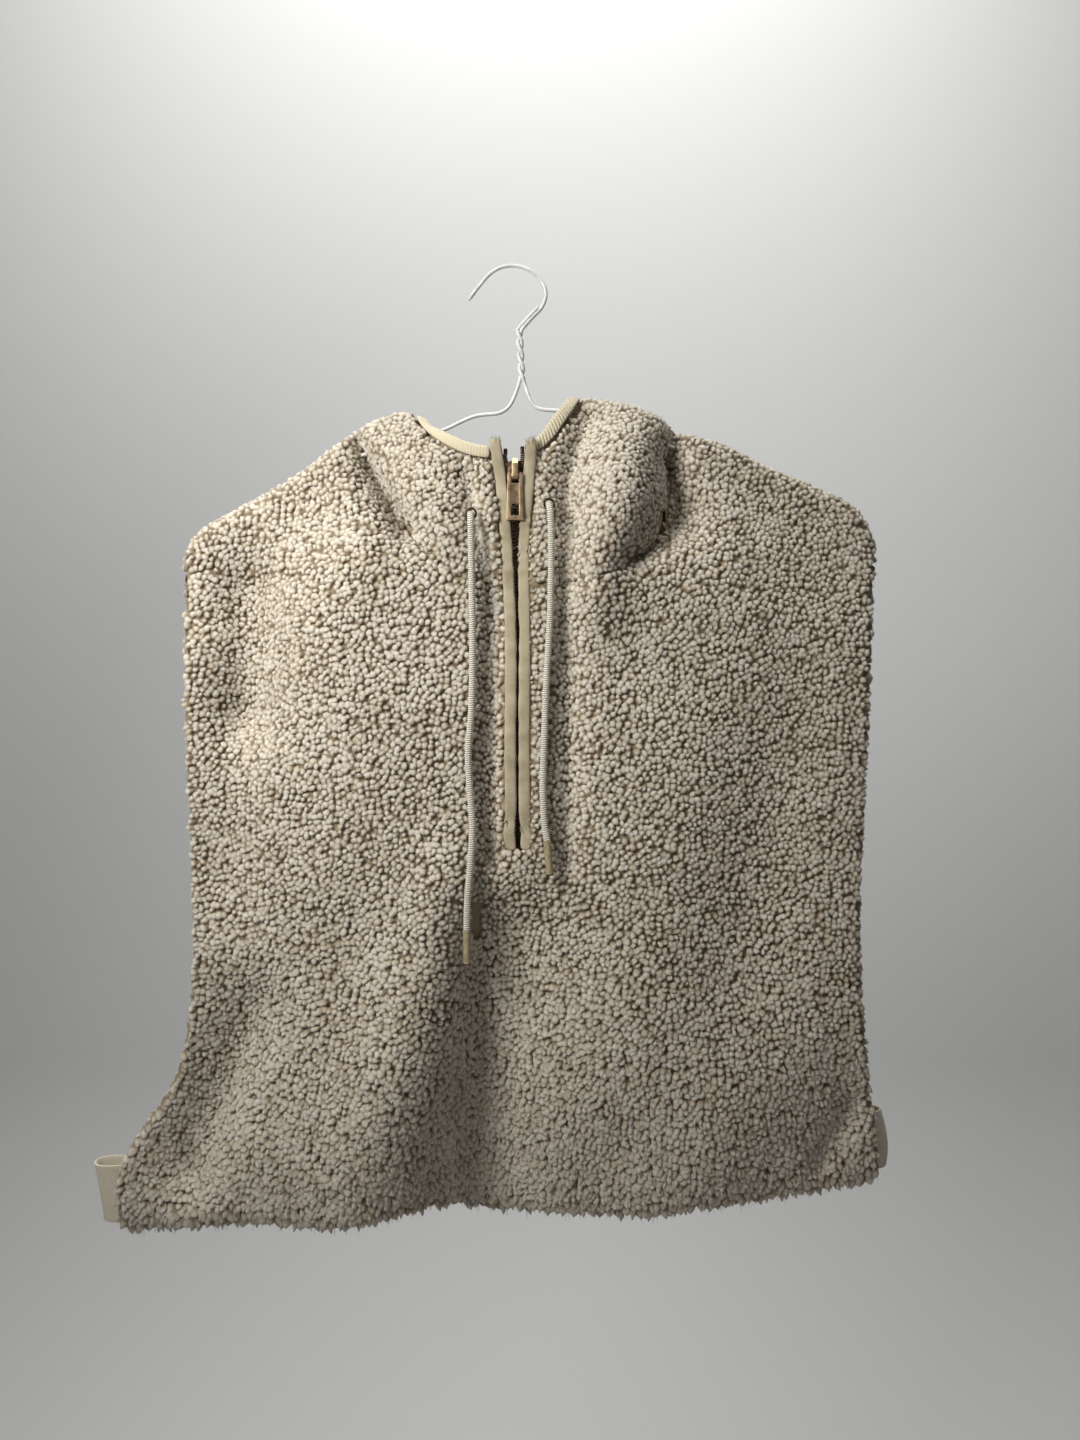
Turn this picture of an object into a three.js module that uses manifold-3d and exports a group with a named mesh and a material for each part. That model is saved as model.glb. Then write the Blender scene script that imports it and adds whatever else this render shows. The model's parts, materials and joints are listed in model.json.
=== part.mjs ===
// A teddy fleece vest on a wire hanger: front and back cut as two tabard panels, joined at the
// shoulders and by an elastic band at each side of the hem, with a funnel collar, a half zip and
// a drawcord. Millimetres. The origin is the inside top of the hanger's hook, where a peg bears.
// +X is the right-hand side seen from the front, the front faces -Y, and +Z is up.
import * as THREE from 'three';
import { mergeVertices } from 'three/addons/utils/BufferGeometryUtils.js';
import Module from 'manifold-3d';

const wasm = await Module();
wasm.setup();

// Driving sizes.
const GAP = 0.3;                  // between neighbours that touch on the real garment
const NECK_GAP = 0.9;             // between collar and body, whose seam twists round the ears
const FLEECE = 8;                 // backing cloth and pile together
const SHOULDER_RADIUS = 11;       // outside radius of the fold over the hanger's arm
const DEPTH_RUN = 120;            // how far below the shoulder the vest reaches its full depth
const SIDE_FALL = 0.45;           // share of that depth lost towards an armhole
const BINDING = { height: 9, thickness: 6, tape: 1.2 };
const COLLAR_WALL = 6.6;          // the same cloth, drawn thinner round the neck
const COLLAR_EDGE = 2.2;          // squeezed inside its binding
const SQUEEZE = { from: 11.5, to: 9.8 };  // how far below the top edge it gets thin
const BELLY = 27 / 4;             // makes a belly or lift between seam and edge peak at its size
const FOLD_RUN = 40;              // how far below the crest a fold reaches its full height
const FACING = { width: 7.7, thickness: 3.2, top: -124.5, bottom: -391 };
const TAPE = { thickness: 0.9, set: 4.6, top: -127.5, tuck: 0.5 };
const CHAIN = { width: 5, thickness: 2.4, set: 3.8, top: -152, bottom: -391 };
const STOP = { width: 2.6, height: 4.5, depth: 2.4 };
const STOPS = [{ side: 'left', x: -6.4, z: 17.6 }, { side: 'right', x: 4.6, z: 19 }];
const SLIDER = { x: 1.5, top: -138.5, height: 15, shoulders: 10, waist: 7.6, plate: 1.1 };
const SLIDER_CLEARANCE = 0.4;     // between its plates and the chain
const BRIDGE = { width: 4, height: 14.4, bar: 1.2 };
const PIN = { radius: 0.8, z: -149.4, reach: 1.2 };
const TAB = { top: 9.4, bottom: 11, length: 29.2, thickness: 1.6, slot: 4.8, slotDepth: 4.8 };
const TAB_WINDOW = { width: 5.6, height: 7.6, foot: 3.2 };
const CORD = { diameter: 4.5, stepsPerRow: 5, sides: 8 };
const AGLET = { radius: 2.5, length: 22 };
const EYELET = { bore: 2.7, rim: 4, thickness: 0.8, seat: 0.4 };
const BAND = { height: 38, thickness: 1.5 };
const WIRE = 2.5;
const TWIST = { top: -43, foot: -77, turns: 2, topX: 3.6, footX: 5.4 };
const SLIT_DEPTH = 80;             // of the tool that opens the front, clear of both skins
const COLUMNS = { shoulder: 7, neck: 12, back: 18 };
const ROWS = { front: 24, back: 15, collar: 8, growth: 1.7 };

// Crest: the highest line of the cloth from shoulder tip to shoulder tip, under the collar.
const CREST = [
  { x: -221, z: -193 }, { x: -217, z: -182 }, { x: -206, z: -174.5 }, { x: -180, z: -160.5 },
  { x: -139, z: -137.5 }, { x: -125, z: -123.5 }, { x: -113, z: -114.5 }, { x: -60, z: -101 },
  { x: 40, z: -93 }, { x: 112, z: -112.5 }, { x: 133, z: -114 }, { x: 160, z: -131 },
  { x: 201, z: -147.5 }, { x: 228, z: -161 }, { x: 239, z: -171 }, { x: 243, z: -190 },
];

// Armhole edges of each panel, from the shoulder tip to the corner of the hem.
const TIP_HEIGHT = -190;
const ARMHOLES = [
  { z: -190, frontLeft: -221, frontRight: 243, backLeft: -219, backRight: 240 },
  { z: -250, frontLeft: -217, frontRight: 236, backLeft: -212, backRight: 231 },
  { z: -310, frontLeft: -214, frontRight: 232, backLeft: -209, backRight: 227 },
  { z: -370, frontLeft: -211, frontRight: 229, backLeft: -206, backRight: 224 },
  { z: -430, frontLeft: -209, frontRight: 226, backLeft: -204, backRight: 222 },
  { z: -490, frontLeft: -209, frontRight: 227, backLeft: -206, backRight: 224 },
  { z: -530, frontLeft: -216, frontRight: 231, backLeft: -214, backRight: 229 },
  { z: -560, frontLeft: -228, frontRight: 235, backLeft: -227, backRight: 236 },
  { z: -585, frontLeft: -249, frontRight: 241, backLeft: -244, backRight: 243 },
  { z: -602, frontLeft: -258, frontRight: 242, backLeft: -252, backRight: 243 },
  { z: -645, frontLeft: -257, frontRight: 234, backLeft: -251, backRight: 236 },
];

// Depth of the vest's skins from the hanger's plane, at the middle of its width.
const DEPTH = [
  { z: -110, front: 34, back: 25 },
  { z: -220, front: 38, back: 28 },
  { z: -330, front: 42, back: 30 },
  { z: -450, front: 42, back: 30 },
  { z: -560, front: 39, back: 28 },
  { z: -645, front: 33, back: 25 },
];

const FRONT_HEM = [
  { x: -258, z: -643 }, { x: -210, z: -637 }, { x: -176, z: -631 }, { x: -117, z: -632 },
  { x: -72, z: -626 }, { x: -34, z: -622 }, { x: 5, z: -623 }, { x: 88, z: -626 },
  { x: 120, z: -622 }, { x: 172, z: -615 }, { x: 208, z: -613 }, { x: 234, z: -611 },
];
const BACK_HEM = [
  { x: -251, z: -640 }, { x: -150, z: -636 }, { x: -40, z: -629 },
  { x: 80, z: -630 }, { x: 170, z: -622 }, { x: 236, z: -612 },
];

// Neck seam and bound top edge of the collar. Each half runs from its ear, the side fold where
// front turns to back, to the zip. roll is how far the cloth bellies out above the seam, and
// lift how far it rises between seam and top edge.
const COLLAR_LEFT = [
  { x: -113, z: -114.5, rimX: -58.5, rimZ: -103, roll: 3, lift: 6 },
  { x: -103, z: -131, rimX: -56, rimZ: -108.5, roll: 5, lift: 6 },
  { x: -86, z: -161, rimX: -47, rimZ: -116.5, roll: 7, lift: 3 },
  { x: -69, z: -187, rimX: -36, rimZ: -123.5, roll: 7, lift: 0 },
  { x: -44, z: -208, rimX: -26, rimZ: -128, roll: 5, lift: 0 },
  { x: -8, z: -224, rimX: -16.5, rimZ: -130, roll: 2, lift: 0 },
];
const COLLAR_RIGHT = [
  { x: 112, z: -112.5, rimX: 38, rimZ: -88, roll: 8, lift: 2 },
  { x: 105, z: -125, rimX: 36.5, rimZ: -92, roll: 9, lift: 2 },
  { x: 103.8, z: -150, rimX: 32, rimZ: -99.5, roll: 9, lift: 1 },
  { x: 101.5, z: -177, rimX: 26.5, rimZ: -109, roll: 11, lift: 0 },
  { x: 88, z: -200, rimX: 22.5, rimZ: -116, roll: 9, lift: 0 },
  { x: 50, z: -217, rimX: 19, rimZ: -121, roll: 5, lift: 0 },
  { x: 12.5, z: -224, rimX: 16.8, rimZ: -124, roll: 2, lift: 0 },
];
const COLLAR_BACK = [
  { x: -113, z: -114.5, rimX: -58.5, rimZ: -103, roll: 3, lift: 6 },
  { x: -104, z: -129, rimX: -56, rimZ: -108.5, roll: 3, lift: 6 },
  { x: -84, z: -144, rimX: -46, rimZ: -117, roll: 3, lift: 2 },
  { x: -50, z: -155, rimX: -30, rimZ: -128, roll: 4, lift: 0 },
  { x: 0, z: -161, rimX: -6, rimZ: -133, roll: 4, lift: 0 },
  { x: 50, z: -155, rimX: 18, rimZ: -121, roll: 4, lift: 0 },
  { x: 84, z: -141, rimX: 28, rimZ: -107, roll: 3, lift: 1 },
  { x: 106, z: -122.5, rimX: 36.5, rimZ: -92, roll: 6, lift: 2 },
  { x: 112, z: -112.5, rimX: 38, rimZ: -88, roll: 8, lift: 2 },
];
const RIM = { x: -10, halfWidth: 49, front: 33, back: 28 };

// Folds: a ridge stands out by its height and a valley sinks by it, along a line from top to foot.
const FRONT_FOLDS = [
  { x: -104, z: -128, footX: -70, footZ: -186, width: 7, height: -6 },     // left shoulder crease
  { x: 103, z: -122, footX: 106, footZ: -175, width: 7, height: -9 },      // right shoulder crease
  { x: 106, z: -175, footX: 76, footZ: -206, width: 9, height: -7 },       // its turn to the front
  { x: 70, z: -128, footX: 56, footZ: -232, width: 20, height: 8 },        // right collar roll
  { x: 46, z: -122, footX: 33, footZ: -182, width: 9, height: -5 },        // beside the right cord
  { x: 33, z: -182, footX: 32, footZ: -392, width: 7, height: -4 },
  { x: -19, z: -190, footX: -12, footZ: -235, width: 7, height: -4 },      // beside the zip, left
  { x: -12, z: -235, footX: -13, footZ: -392, width: 6, height: -4 },
  { x: -15, z: -394, footX: -24, footZ: -462, width: 10, height: -6 },
  { x: -12, z: -458, footX: -48, footZ: -606, width: 30, height: -15 },    // long slanting valley
  { x: -22, z: -420, footX: -112, footZ: -606, width: 42, height: 10 },    // ridge left of it
  { x: -182, z: -205, footX: -187, footZ: -420, width: 16, height: -7 },   // along the armhole
  { x: -180, z: -505, footX: -214, footZ: -578, width: 20, height: -10 },  // above the left band
  { x: -246, z: -600, footX: -246, footZ: -645, width: 34, height: -6 },  // corner, held in
  { x: 214, z: -550, footX: 194, footZ: -578, width: 18, height: -7 },     // right corner dent
  { x: 240, z: -585, footX: 236, footZ: -612, width: 30, height: -8 },
  { x: -60, z: -300, footX: -66, footZ: -360, width: 38, height: 4 },
  { x: 151, z: -330, footX: 140, footZ: -430, width: 40, height: -4 },
];
const BACK_FOLDS = [
  { x: -96, z: -140, footX: -60, footZ: -215, width: 10, height: -4 },
  { x: 94, z: -138, footX: 62, footZ: -220, width: 10, height: -4 },
  { x: 20, z: -400, footX: 70, footZ: -612, width: 34, height: -8 },
  { x: -60, z: -380, footX: -110, footZ: -600, width: 36, height: -6 },
  { x: -242, z: -600, footX: -242, footZ: -640, width: 34, height: -3 },
  { x: 236, z: -560, footX: 234, footZ: -612, width: 30, height: -2 },
];

// Zip, from its open top to its foot: centre lines of the two facings and of the chain of teeth,
// and the inner edges of the two tapes, which the slider spreads at the top.
const ZIP = [
  { z: -124, left: -12.1, right: 11.9, tapeLeft: -8.2, tapeRight: 8, chain: 1.5 },
  { z: -146, left: -8.6, right: 10.9, tapeLeft: -4.4, tapeRight: 7.4, chain: 1.5 },
  { z: -156, left: -7.3, right: 9.9, tapeLeft: -3, tapeRight: 6, chain: 1.6 },
  { z: -174, left: -5.6, right: 8.6, tapeLeft: -1, tapeRight: 4.8, chain: 1.9 },
  { z: -196, left: -3.8, right: 7.2, tapeLeft: -0.6, tapeRight: 5.2, chain: 2.3 },
  { z: -256, left: -1.2, right: 7.9, tapeLeft: 0.4, tapeRight: 6.2, chain: 3.3 },
  { z: -320, left: -1.4, right: 7.6, tapeLeft: 0.5, tapeRight: 6.3, chain: 3.4 },
  { z: -393, left: -0.8, right: 8.1, tapeLeft: 0.6, tapeRight: 6.4, chain: 3.5 },
];
const SLIT = [
  { z: -180, left: -9.6, right: 13 },
  { z: -224, left: -8.3, right: 12.8 },
  { z: -256, left: -5.6, right: 12.4 },
  { z: -391.5, left: -5.2, right: 12.5 },
];

// Drawcord ends: where each eyelet sits, and the route of the cord's axis down from it.
const CORDS = {
  left: [
    { x: -26.8, y: -40.7, z: -174.6 }, { x: -26.6, y: -43.2, z: -180 },
    { x: -26.3, y: -43.6, z: -192 }, { x: -26, y: -43.4, z: -214 },
    { x: -25.4, y: -44.2, z: -264 }, { x: -26, y: -46.2, z: -301 },
    { x: -28, y: -47.2, z: -329 }, { x: -26.8, y: -48.2, z: -352 },
    { x: -25.2, y: -49.6, z: -374 }, { x: -26, y: -51.4, z: -395 },
    { x: -28.2, y: -51.6, z: -422 }, { x: -28.6, y: -51.2, z: -440 },
  ],
  right: [
    { x: 23.5, y: -36.8, z: -167.5 }, { x: 24.2, y: -39.6, z: -173 },
    { x: 24.8, y: -40.6, z: -183 }, { x: 25, y: -40.8, z: -198 },
    { x: 24.1, y: -41.4, z: -243 }, { x: 21.7, y: -42.8, z: -284 },
    { x: 20.6, y: -44.2, z: -317 }, { x: 19.6, y: -45.2, z: -350 },
    { x: 20.6, y: -46.3, z: -374 }, { x: 22.2, y: -46.9, z: -384 },
  ],
};

// Far ends of the aglets.
const AGLET_TIPS = {
  left: { x: -28.4, y: -50.4, z: -463 },
  right: { x: 24, y: -47.8, z: -406 },
};

// Elastic side bands, seen from above: out from behind the front, round, and back to the back.
const BANDS = {
  left: {
    top: -606, lean: 6,
    path: [
      { x: -238, y: -9.6 }, { x: -250, y: -8.2 }, { x: -262, y: -8.2 }, { x: -272, y: -9.2 },
      { x: -279, y: -7.4 }, { x: -282, y: -2.2 }, { x: -281, y: 2.8 }, { x: -275, y: 6 },
      { x: -264, y: 6.4 }, { x: -250, y: 6.1 }, { x: -238, y: 7.2 },
    ],
  },
  right: {
    top: -572, lean: -1.5,
    path: [
      { x: 226, y: -10.8 }, { x: 238, y: -8.8 }, { x: 248, y: -6 }, { x: 255, y: -1 },
      { x: 257, y: 4 }, { x: 254, y: 8.2 }, { x: 247, y: 9.5 }, { x: 238, y: 9.4 },
      { x: 228, y: 10.2 },
    ],
  },
};

// Hanger: one wire, its hook first. The arms follow the shoulders and a bar closes them below.
const HOOK = [
  { x: -30.6, z: -21.8 }, { x: -24, z: -13 }, { x: -15.5, z: -3.6 }, { x: -8, z: 0.3 },
  { x: 0, z: 1.25 }, { x: 8.5, z: -0.8 }, { x: 16, z: -6 }, { x: 20.8, z: -13 },
  { x: 21.6, z: -20 }, { x: 18.6, z: -27.5 }, { x: 12.5, z: -34 },
];
const TAIL = [{ x: 16.2, z: -27.2 }, { x: 10.5, z: -33.2 }];
const ARM_LEFT = [
  { x: -2.7, z: -93.5 }, { x: -8.8, z: -98.4 }, { x: -26.5, z: -101 }, { x: -48, z: -110.5 },
  { x: -75, z: -121 }, { x: -113, z: -131 }, { x: -139, z: -149.6 }, { x: -165, z: -165 },
  { x: -186, z: -178 }, { x: -193.5, z: -183.5 }, { x: -194.5, z: -189 }, { x: -189, z: -191.5 },
];
const ARM_RIGHT = [
  { x: 11.6, z: -90.5 }, { x: 16, z: -95.4 }, { x: 39.5, z: -98 }, { x: 62, z: -104 },
  { x: 90, z: -115 }, { x: 112, z: -124 }, { x: 127, z: -129 }, { x: 160, z: -146 },
  { x: 201, z: -162.5 },
  { x: 212, z: -168 }, { x: 217, z: -174 }, { x: 215, z: -179.5 }, { x: 208, z: -181.5 },
];

const smooth = (t) => {
  const s = Math.min(Math.max(t, 0), 1);
  return s * s * (3 - 2 * s);
};
const mix = (a, b, t) => a + (b - a) * t;
const quarterRound = (t) => Math.sqrt(1 - (1 - Math.min(Math.max(t, 0), 1)) ** 2);

// Value of one column of a table at a place given in another, on a smooth line through the rows.
function lookUp(rows, by, column, at) {
  const rising = rows[rows.length - 1][by] > rows[0][by];
  let i = rows.findIndex((row) => (rising ? row[by] > at : row[by] < at));
  i = i < 0 ? rows.length - 1 : Math.max(i, 1);
  const a = rows[i - 1];
  const b = rows[i];
  const span = b[by] - a[by];
  const t = Math.min(Math.max((at - a[by]) / span, 0), 1);
  const slope = (before, after) => (after[column] - before[column]) / (after[by] - before[by]);
  const startSlope = i > 1 ? slope(rows[i - 2], b) : slope(a, b);
  const endSlope = i < rows.length - 1 ? slope(a, rows[i + 1]) : slope(a, b);
  const h = t * t * (3 - 2 * t);
  return mix(a[column], b[column], h)
    + span * startSlope * t * (1 - t) ** 2 - span * endSlope * t * t * (1 - t);
}

const crest = (x) => lookUp(CREST, 'x', 'z', x);

// How far the folds of a skin raise or sink it at a place.
function foldHeight(folds, x, z) {
  let height = 0;
  for (const fold of folds) {
    const run = { x: fold.footX - fold.x, z: fold.footZ - fold.z };
    const length = Math.hypot(run.x, run.z);
    const along = ((x - fold.x) * run.x + (z - fold.z) * run.z) / length;
    const across = ((x - fold.x) * run.z - (z - fold.z) * run.x) / length;
    const past = Math.max(-along, along - length, 0);
    height += fold.height * Math.exp(-((across / fold.width) ** 2) - (past / fold.width) ** 2);
  }
  return height;
}

// Depth of a skin without its folds: a round shoulder that widens downwards, less at the sides.
function plainDepth(side, x, z) {
  const below = crest(x) - z;
  const left = lookUp(ARMHOLES, 'z', `${side}Left`, z);
  const right = lookUp(ARMHOLES, 'z', `${side}Right`, z);
  const across = Math.min(Math.abs((2 * x - left - right) / (right - left)), 1);
  const full = lookUp(DEPTH, 'z', side, z) - SHOULDER_RADIUS;
  return SHOULDER_RADIUS * quarterRound(below / SHOULDER_RADIUS)
    + full * smooth(below / DEPTH_RUN) * (1 - SIDE_FALL * across ** 3);
}

function depth(side, x, z) {
  const folds = side === 'front' ? FRONT_FOLDS : BACK_FOLDS;
  return plainDepth(side, x, z) + foldHeight(folds, x, z) * smooth((crest(x) - z) / FOLD_RUN);
}

const facingWay = (side) => (side === 'front' ? -1 : 1);

function skinPoint(side, x, z) {
  const d = Math.max(depth(side, x, z), GAP / 2);
  return new THREE.Vector3(x, facingWay(side) * d, z);
}

// The cloth's thickness is laid off from the plain shape, so that a fold doesn't pinch it.
function skinFacing(side, x, z) {
  const h = 0.5;
  if (crest(x) - z < h) {
    const rise = (crest(x + h) - crest(x - h)) / (2 * h);
    return new THREE.Vector3(-rise, 0, 1).normalize();
  }
  const alongX = (plainDepth(side, x + h, z) - plainDepth(side, x - h, z)) / (2 * h);
  const alongZ = (plainDepth(side, x, z + h) - plainDepth(side, x, z - h)) / (2 * h);
  return new THREE.Vector3(-alongX, facingWay(side), -alongZ).normalize();
}

// Points spread along a smooth line through rows, every column carried along.
function spread(rows, count, easing) {
  const names = Object.keys(rows[0]);
  const lengths = [0];
  for (let i = 1; i < rows.length; i++) {
    const step = Math.hypot(rows[i].x - rows[i - 1].x, rows[i].z - rows[i - 1].z);
    lengths.push(lengths[i - 1] + step);
  }
  const table = rows.map((row, i) => ({ ...row, length: lengths[i] }));
  const total = lengths[lengths.length - 1];
  return Array.from({ length: count + 1 }, (_, i) => {
    const at = total * easing(i / count);
    return Object.fromEntries(names.map((name) => [name, lookUp(table, 'length', name, at)]));
  });
}

function volumeOf(points, faces) {
  let sum = 0;
  for (const [a, b, c] of faces) {
    sum += points[a].dot(new THREE.Vector3().crossVectors(points[b], points[c])) / 6;
  }
  return sum;
}

function closedGeometry(points, faces) {
  const outwards = volumeOf(points, faces) > 0 ? faces : faces.map(([a, b, c]) => [a, c, b]);
  const geometry = new THREE.BufferGeometry().setFromPoints(points);
  geometry.setIndex(outwards.flat());
  return geometry;
}

// A wall of cloth: a grid of skin points, and a second skin behind it by each point's thickness.
function wall(grid, facings, thickness) {
  const rows = grid.length;
  const columns = grid[0].length;
  const points = grid.flat();
  const count = points.length;
  grid.forEach((row, r) => row.forEach((point, c) => {
    points.push(point.clone().addScaledVector(facings[r][c], -thickness(r, c)));
  }));
  const at = (r, c) => r * columns + c;
  const faces = [];
  const quad = (a, b, c, d) => faces.push([a, b, c], [a, c, d]);
  for (let r = 0; r < rows - 1; r++) {
    for (let c = 0; c < columns - 1; c++) {
      quad(at(r, c), at(r, c + 1), at(r + 1, c + 1), at(r + 1, c));
      quad(count + at(r, c), count + at(r + 1, c), count + at(r + 1, c + 1), count + at(r, c + 1));
    }
  }
  const edge = [];
  for (let c = 0; c < columns - 1; c++) edge.push(at(0, c));
  for (let r = 0; r < rows - 1; r++) edge.push(at(r, columns - 1));
  for (let c = columns - 1; c > 0; c--) edge.push(at(rows - 1, c));
  for (let r = rows - 1; r > 0; r--) edge.push(at(r, 0));
  edge.forEach((a, i) => {
    const b = edge[(i + 1) % edge.length];
    quad(b, a, count + a, count + b);
  });
  return closedGeometry(points, faces);
}

// Directions in which a free grid faces, from its neighbours on either side.
function gridFacings(grid, turn) {
  const pick = (list, i) => list[Math.min(Math.max(i, 0), list.length - 1)];
  return grid.map((row, r) => row.map((_, c) => {
    const down = pick(grid, r + 1)[c].clone().sub(pick(grid, r - 1)[c]);
    const across = pick(row, c + 1).clone().sub(pick(row, c - 1));
    return down.cross(across).normalize().multiplyScalar(turn);
  }));
}

// A bar through rings of points, each ring a closed round outline.
function loft(rings) {
  const points = rings.flat();
  const size = rings[0].length;
  const faces = [];
  for (let r = 0; r < rings.length - 1; r++) {
    for (let i = 0; i < size; i++) {
      const a = r * size + i;
      const b = r * size + (i + 1) % size;
      faces.push([a, b, b + size], [a, b + size, a + size]);
    }
  }
  const last = (rings.length - 1) * size;
  for (let i = 1; i < size - 1; i++) {
    faces.push([0, i + 1, i], [last, last + i, last + i + 1]);
  }
  return closedGeometry(points, faces);
}

function toManifold(geometry) {
  const bare = geometry.clone();
  bare.deleteAttribute('normal');
  bare.deleteAttribute('uv');
  const merged = mergeVertices(bare, 1e-4);
  return new wasm.Manifold(new wasm.Mesh({
    numProp: 3,
    vertProperties: new Float32Array(merged.attributes.position.array),
    triVerts: new Uint32Array(merged.index.array),
  }));
}

function fromManifold(solid) {
  const mesh = solid.getMesh();
  const geometry = new THREE.BufferGeometry();
  geometry.setAttribute('position', new THREE.BufferAttribute(mesh.vertProperties, 3));
  geometry.setIndex(new THREE.BufferAttribute(mesh.triVerts, 1));
  return geometry;
}

const join = (geometries) => fromManifold(
  geometries.map(toManifold).reduce((whole, next) => whole.add(next)),
);
const cut = (geometry, tool) => fromManifold(toManifold(geometry).subtract(toManifold(tool)));

// A smooth route through rows, stepped by row rather than by length.
function routeThrough(rows) {
  const places = rows.map(({ x, y = 0, z }) => new THREE.Vector3(x, y, z));
  const route = new THREE.CatmullRomCurve3(places, false, 'centripetal');
  route.getPointAt = (u) => route.getPoint(u);
  route.getTangentAt = (u) => route.getTangent(u);
  return route;
}

// A round wire or cord along a route.
function roundBar(rows, diameter, stepsPerRow, sides) {
  const corner = (i) => {
    const angle = (2 * Math.PI * i) / sides;
    return new THREE.Vector2(Math.cos(angle), Math.sin(angle)).multiplyScalar(diameter / 2);
  };
  const outline = new THREE.Shape(Array.from({ length: sides }, (_, i) => corner(i)));
  return new THREE.ExtrudeGeometry(outline, {
    steps: stepsPerRow * (rows.length - 1),
    bevelEnabled: false,
    extrudePath: routeThrough(rows),
  });
}

const finish = (color, roughness, metalness = 0) => (
  new THREE.MeshStandardMaterial({ color, roughness, metalness })
);
const fleece = () => finish(0xc9beae, 1);
const facingCloth = () => finish(0xc8bb98, 0.85);
const bindingCloth = () => finish(0xcfc19c, 0.8);
const darkTape = () => finish(0x2a1d14, 0.8);
const darkMetal = () => finish(0x4a3826, 0.45, 0.8);
const goldMetal = () => finish(0xb89468, 0.35, 0.9);
const cordYarn = () => finish(0xddd6c8, 0.8);
const aglet = () => finish(0xb59f78, 0.4);
const elastic = () => finish(0xd8cfba, 0.8);
const wireCoat = () => finish(0xe8e8e6, 0.35);

const vest = new THREE.Group();

function add(name, geometry, material, parent = vest) {
  const mesh = new THREE.Mesh(geometry, material);
  mesh.name = name;
  parent.add(mesh);
  return mesh;
}

// A body panel: its top row runs up one shoulder, along the neck seam and down the other.
function panel(side, neck, hem, rowCount) {
  const first = neck[0];
  const last = neck[neck.length - 1];
  const onCrest = (x) => ({ x, z: crest(x) });
  const shoulder = (fromX, toX, crowd) => Array.from({ length: COLUMNS.shoulder }, (_, i) => (
    onCrest(mix(fromX, toX, (i / COLUMNS.shoulder) ** crowd))
  ));
  const tipLeft = lookUp(ARMHOLES, 'z', `${side}Left`, TIP_HEIGHT) + 0.5;
  const tipRight = lookUp(ARMHOLES, 'z', `${side}Right`, TIP_HEIGHT) - 0.5;
  const top = [
    ...shoulder(tipLeft, first.x, 1.5),
    ...neck,
    ...shoulder(tipRight, last.x, 1.5).reverse(),
  ];
  const shares = [0];
  for (let i = 1; i < top.length; i++) {
    const dx = top[i].x - top[i - 1].x;
    const dz = top[i].z - top[i - 1].z;
    shares.push(shares[i - 1] + Math.max(dx, 0) + 0.12 * Math.hypot(dx, dz));
  }
  const total = shares[shares.length - 1];
  const hemStart = hem[0].x;
  const hemEnd = hem[hem.length - 1].x;
  const grid = [];
  const facings = [];
  for (let r = 0; r <= rowCount; r++) {
    const down = (r / rowCount) ** ROWS.growth;
    const places = top.map((point, i) => {
      const share = shares[i] / total;
      const hemX = mix(hemStart, hemEnd, share);
      const hemZ = lookUp(hem, 'x', 'z', hemX);
      const z = mix(point.z, hemZ, down);
      const edge = (column, corner, hemCorner) => {
        const edgeZ = mix(corner.z, hemCorner.z, down);
        const straight = mix(corner.x, hemCorner.x, down);
        return r ? lookUp(ARMHOLES, 'z', column, edgeZ) - straight : 0;
      };
      const x = mix(point.x, hemX, down)
        + (1 - share) ** 2 * edge(`${side}Left`, top[0], hem[0])
        + share ** 2 * edge(`${side}Right`, top[top.length - 1], hem[hem.length - 1]);
      return { x, z };
    });
    grid.push(places.map(({ x, z }) => skinPoint(side, x, z)));
    facings.push(places.map(({ x, z }) => skinFacing(side, x, z)));
  }
  return wall(grid, facings, () => FLEECE);
}

const neckLeft = spread(COLLAR_LEFT, COLUMNS.neck, (t) => t ** 1.4);
const neckRight = spread(COLLAR_RIGHT, COLUMNS.neck + 2, (t) => t ** 1.4);
const neckBack = spread(COLLAR_BACK, COLUMNS.back, (t) => mix(t, smooth(t), 0.9));

// Front and back panels, the front slit down its middle for the zip.
function slitTool() {
  const outline = [
    ...SLIT.map(({ left, z }) => new THREE.Vector2(left, z)),
    ...SLIT.map(({ right, z }) => new THREE.Vector2(right, z)).reverse(),
  ];
  const tool = new THREE.ExtrudeGeometry(new THREE.Shape(outline), {
    depth: SLIT_DEPTH,
    bevelEnabled: false,
  });
  return tool.rotateX(Math.PI / 2);
}

const frontNeck = [...neckLeft, ...neckRight.slice().reverse()];
add('front_panel', cut(panel('front', frontNeck, FRONT_HEM, ROWS.front), slitTool()), fleece());
add('back_panel', panel('back', neckBack, BACK_HEM, ROWS.back), fleece());

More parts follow.
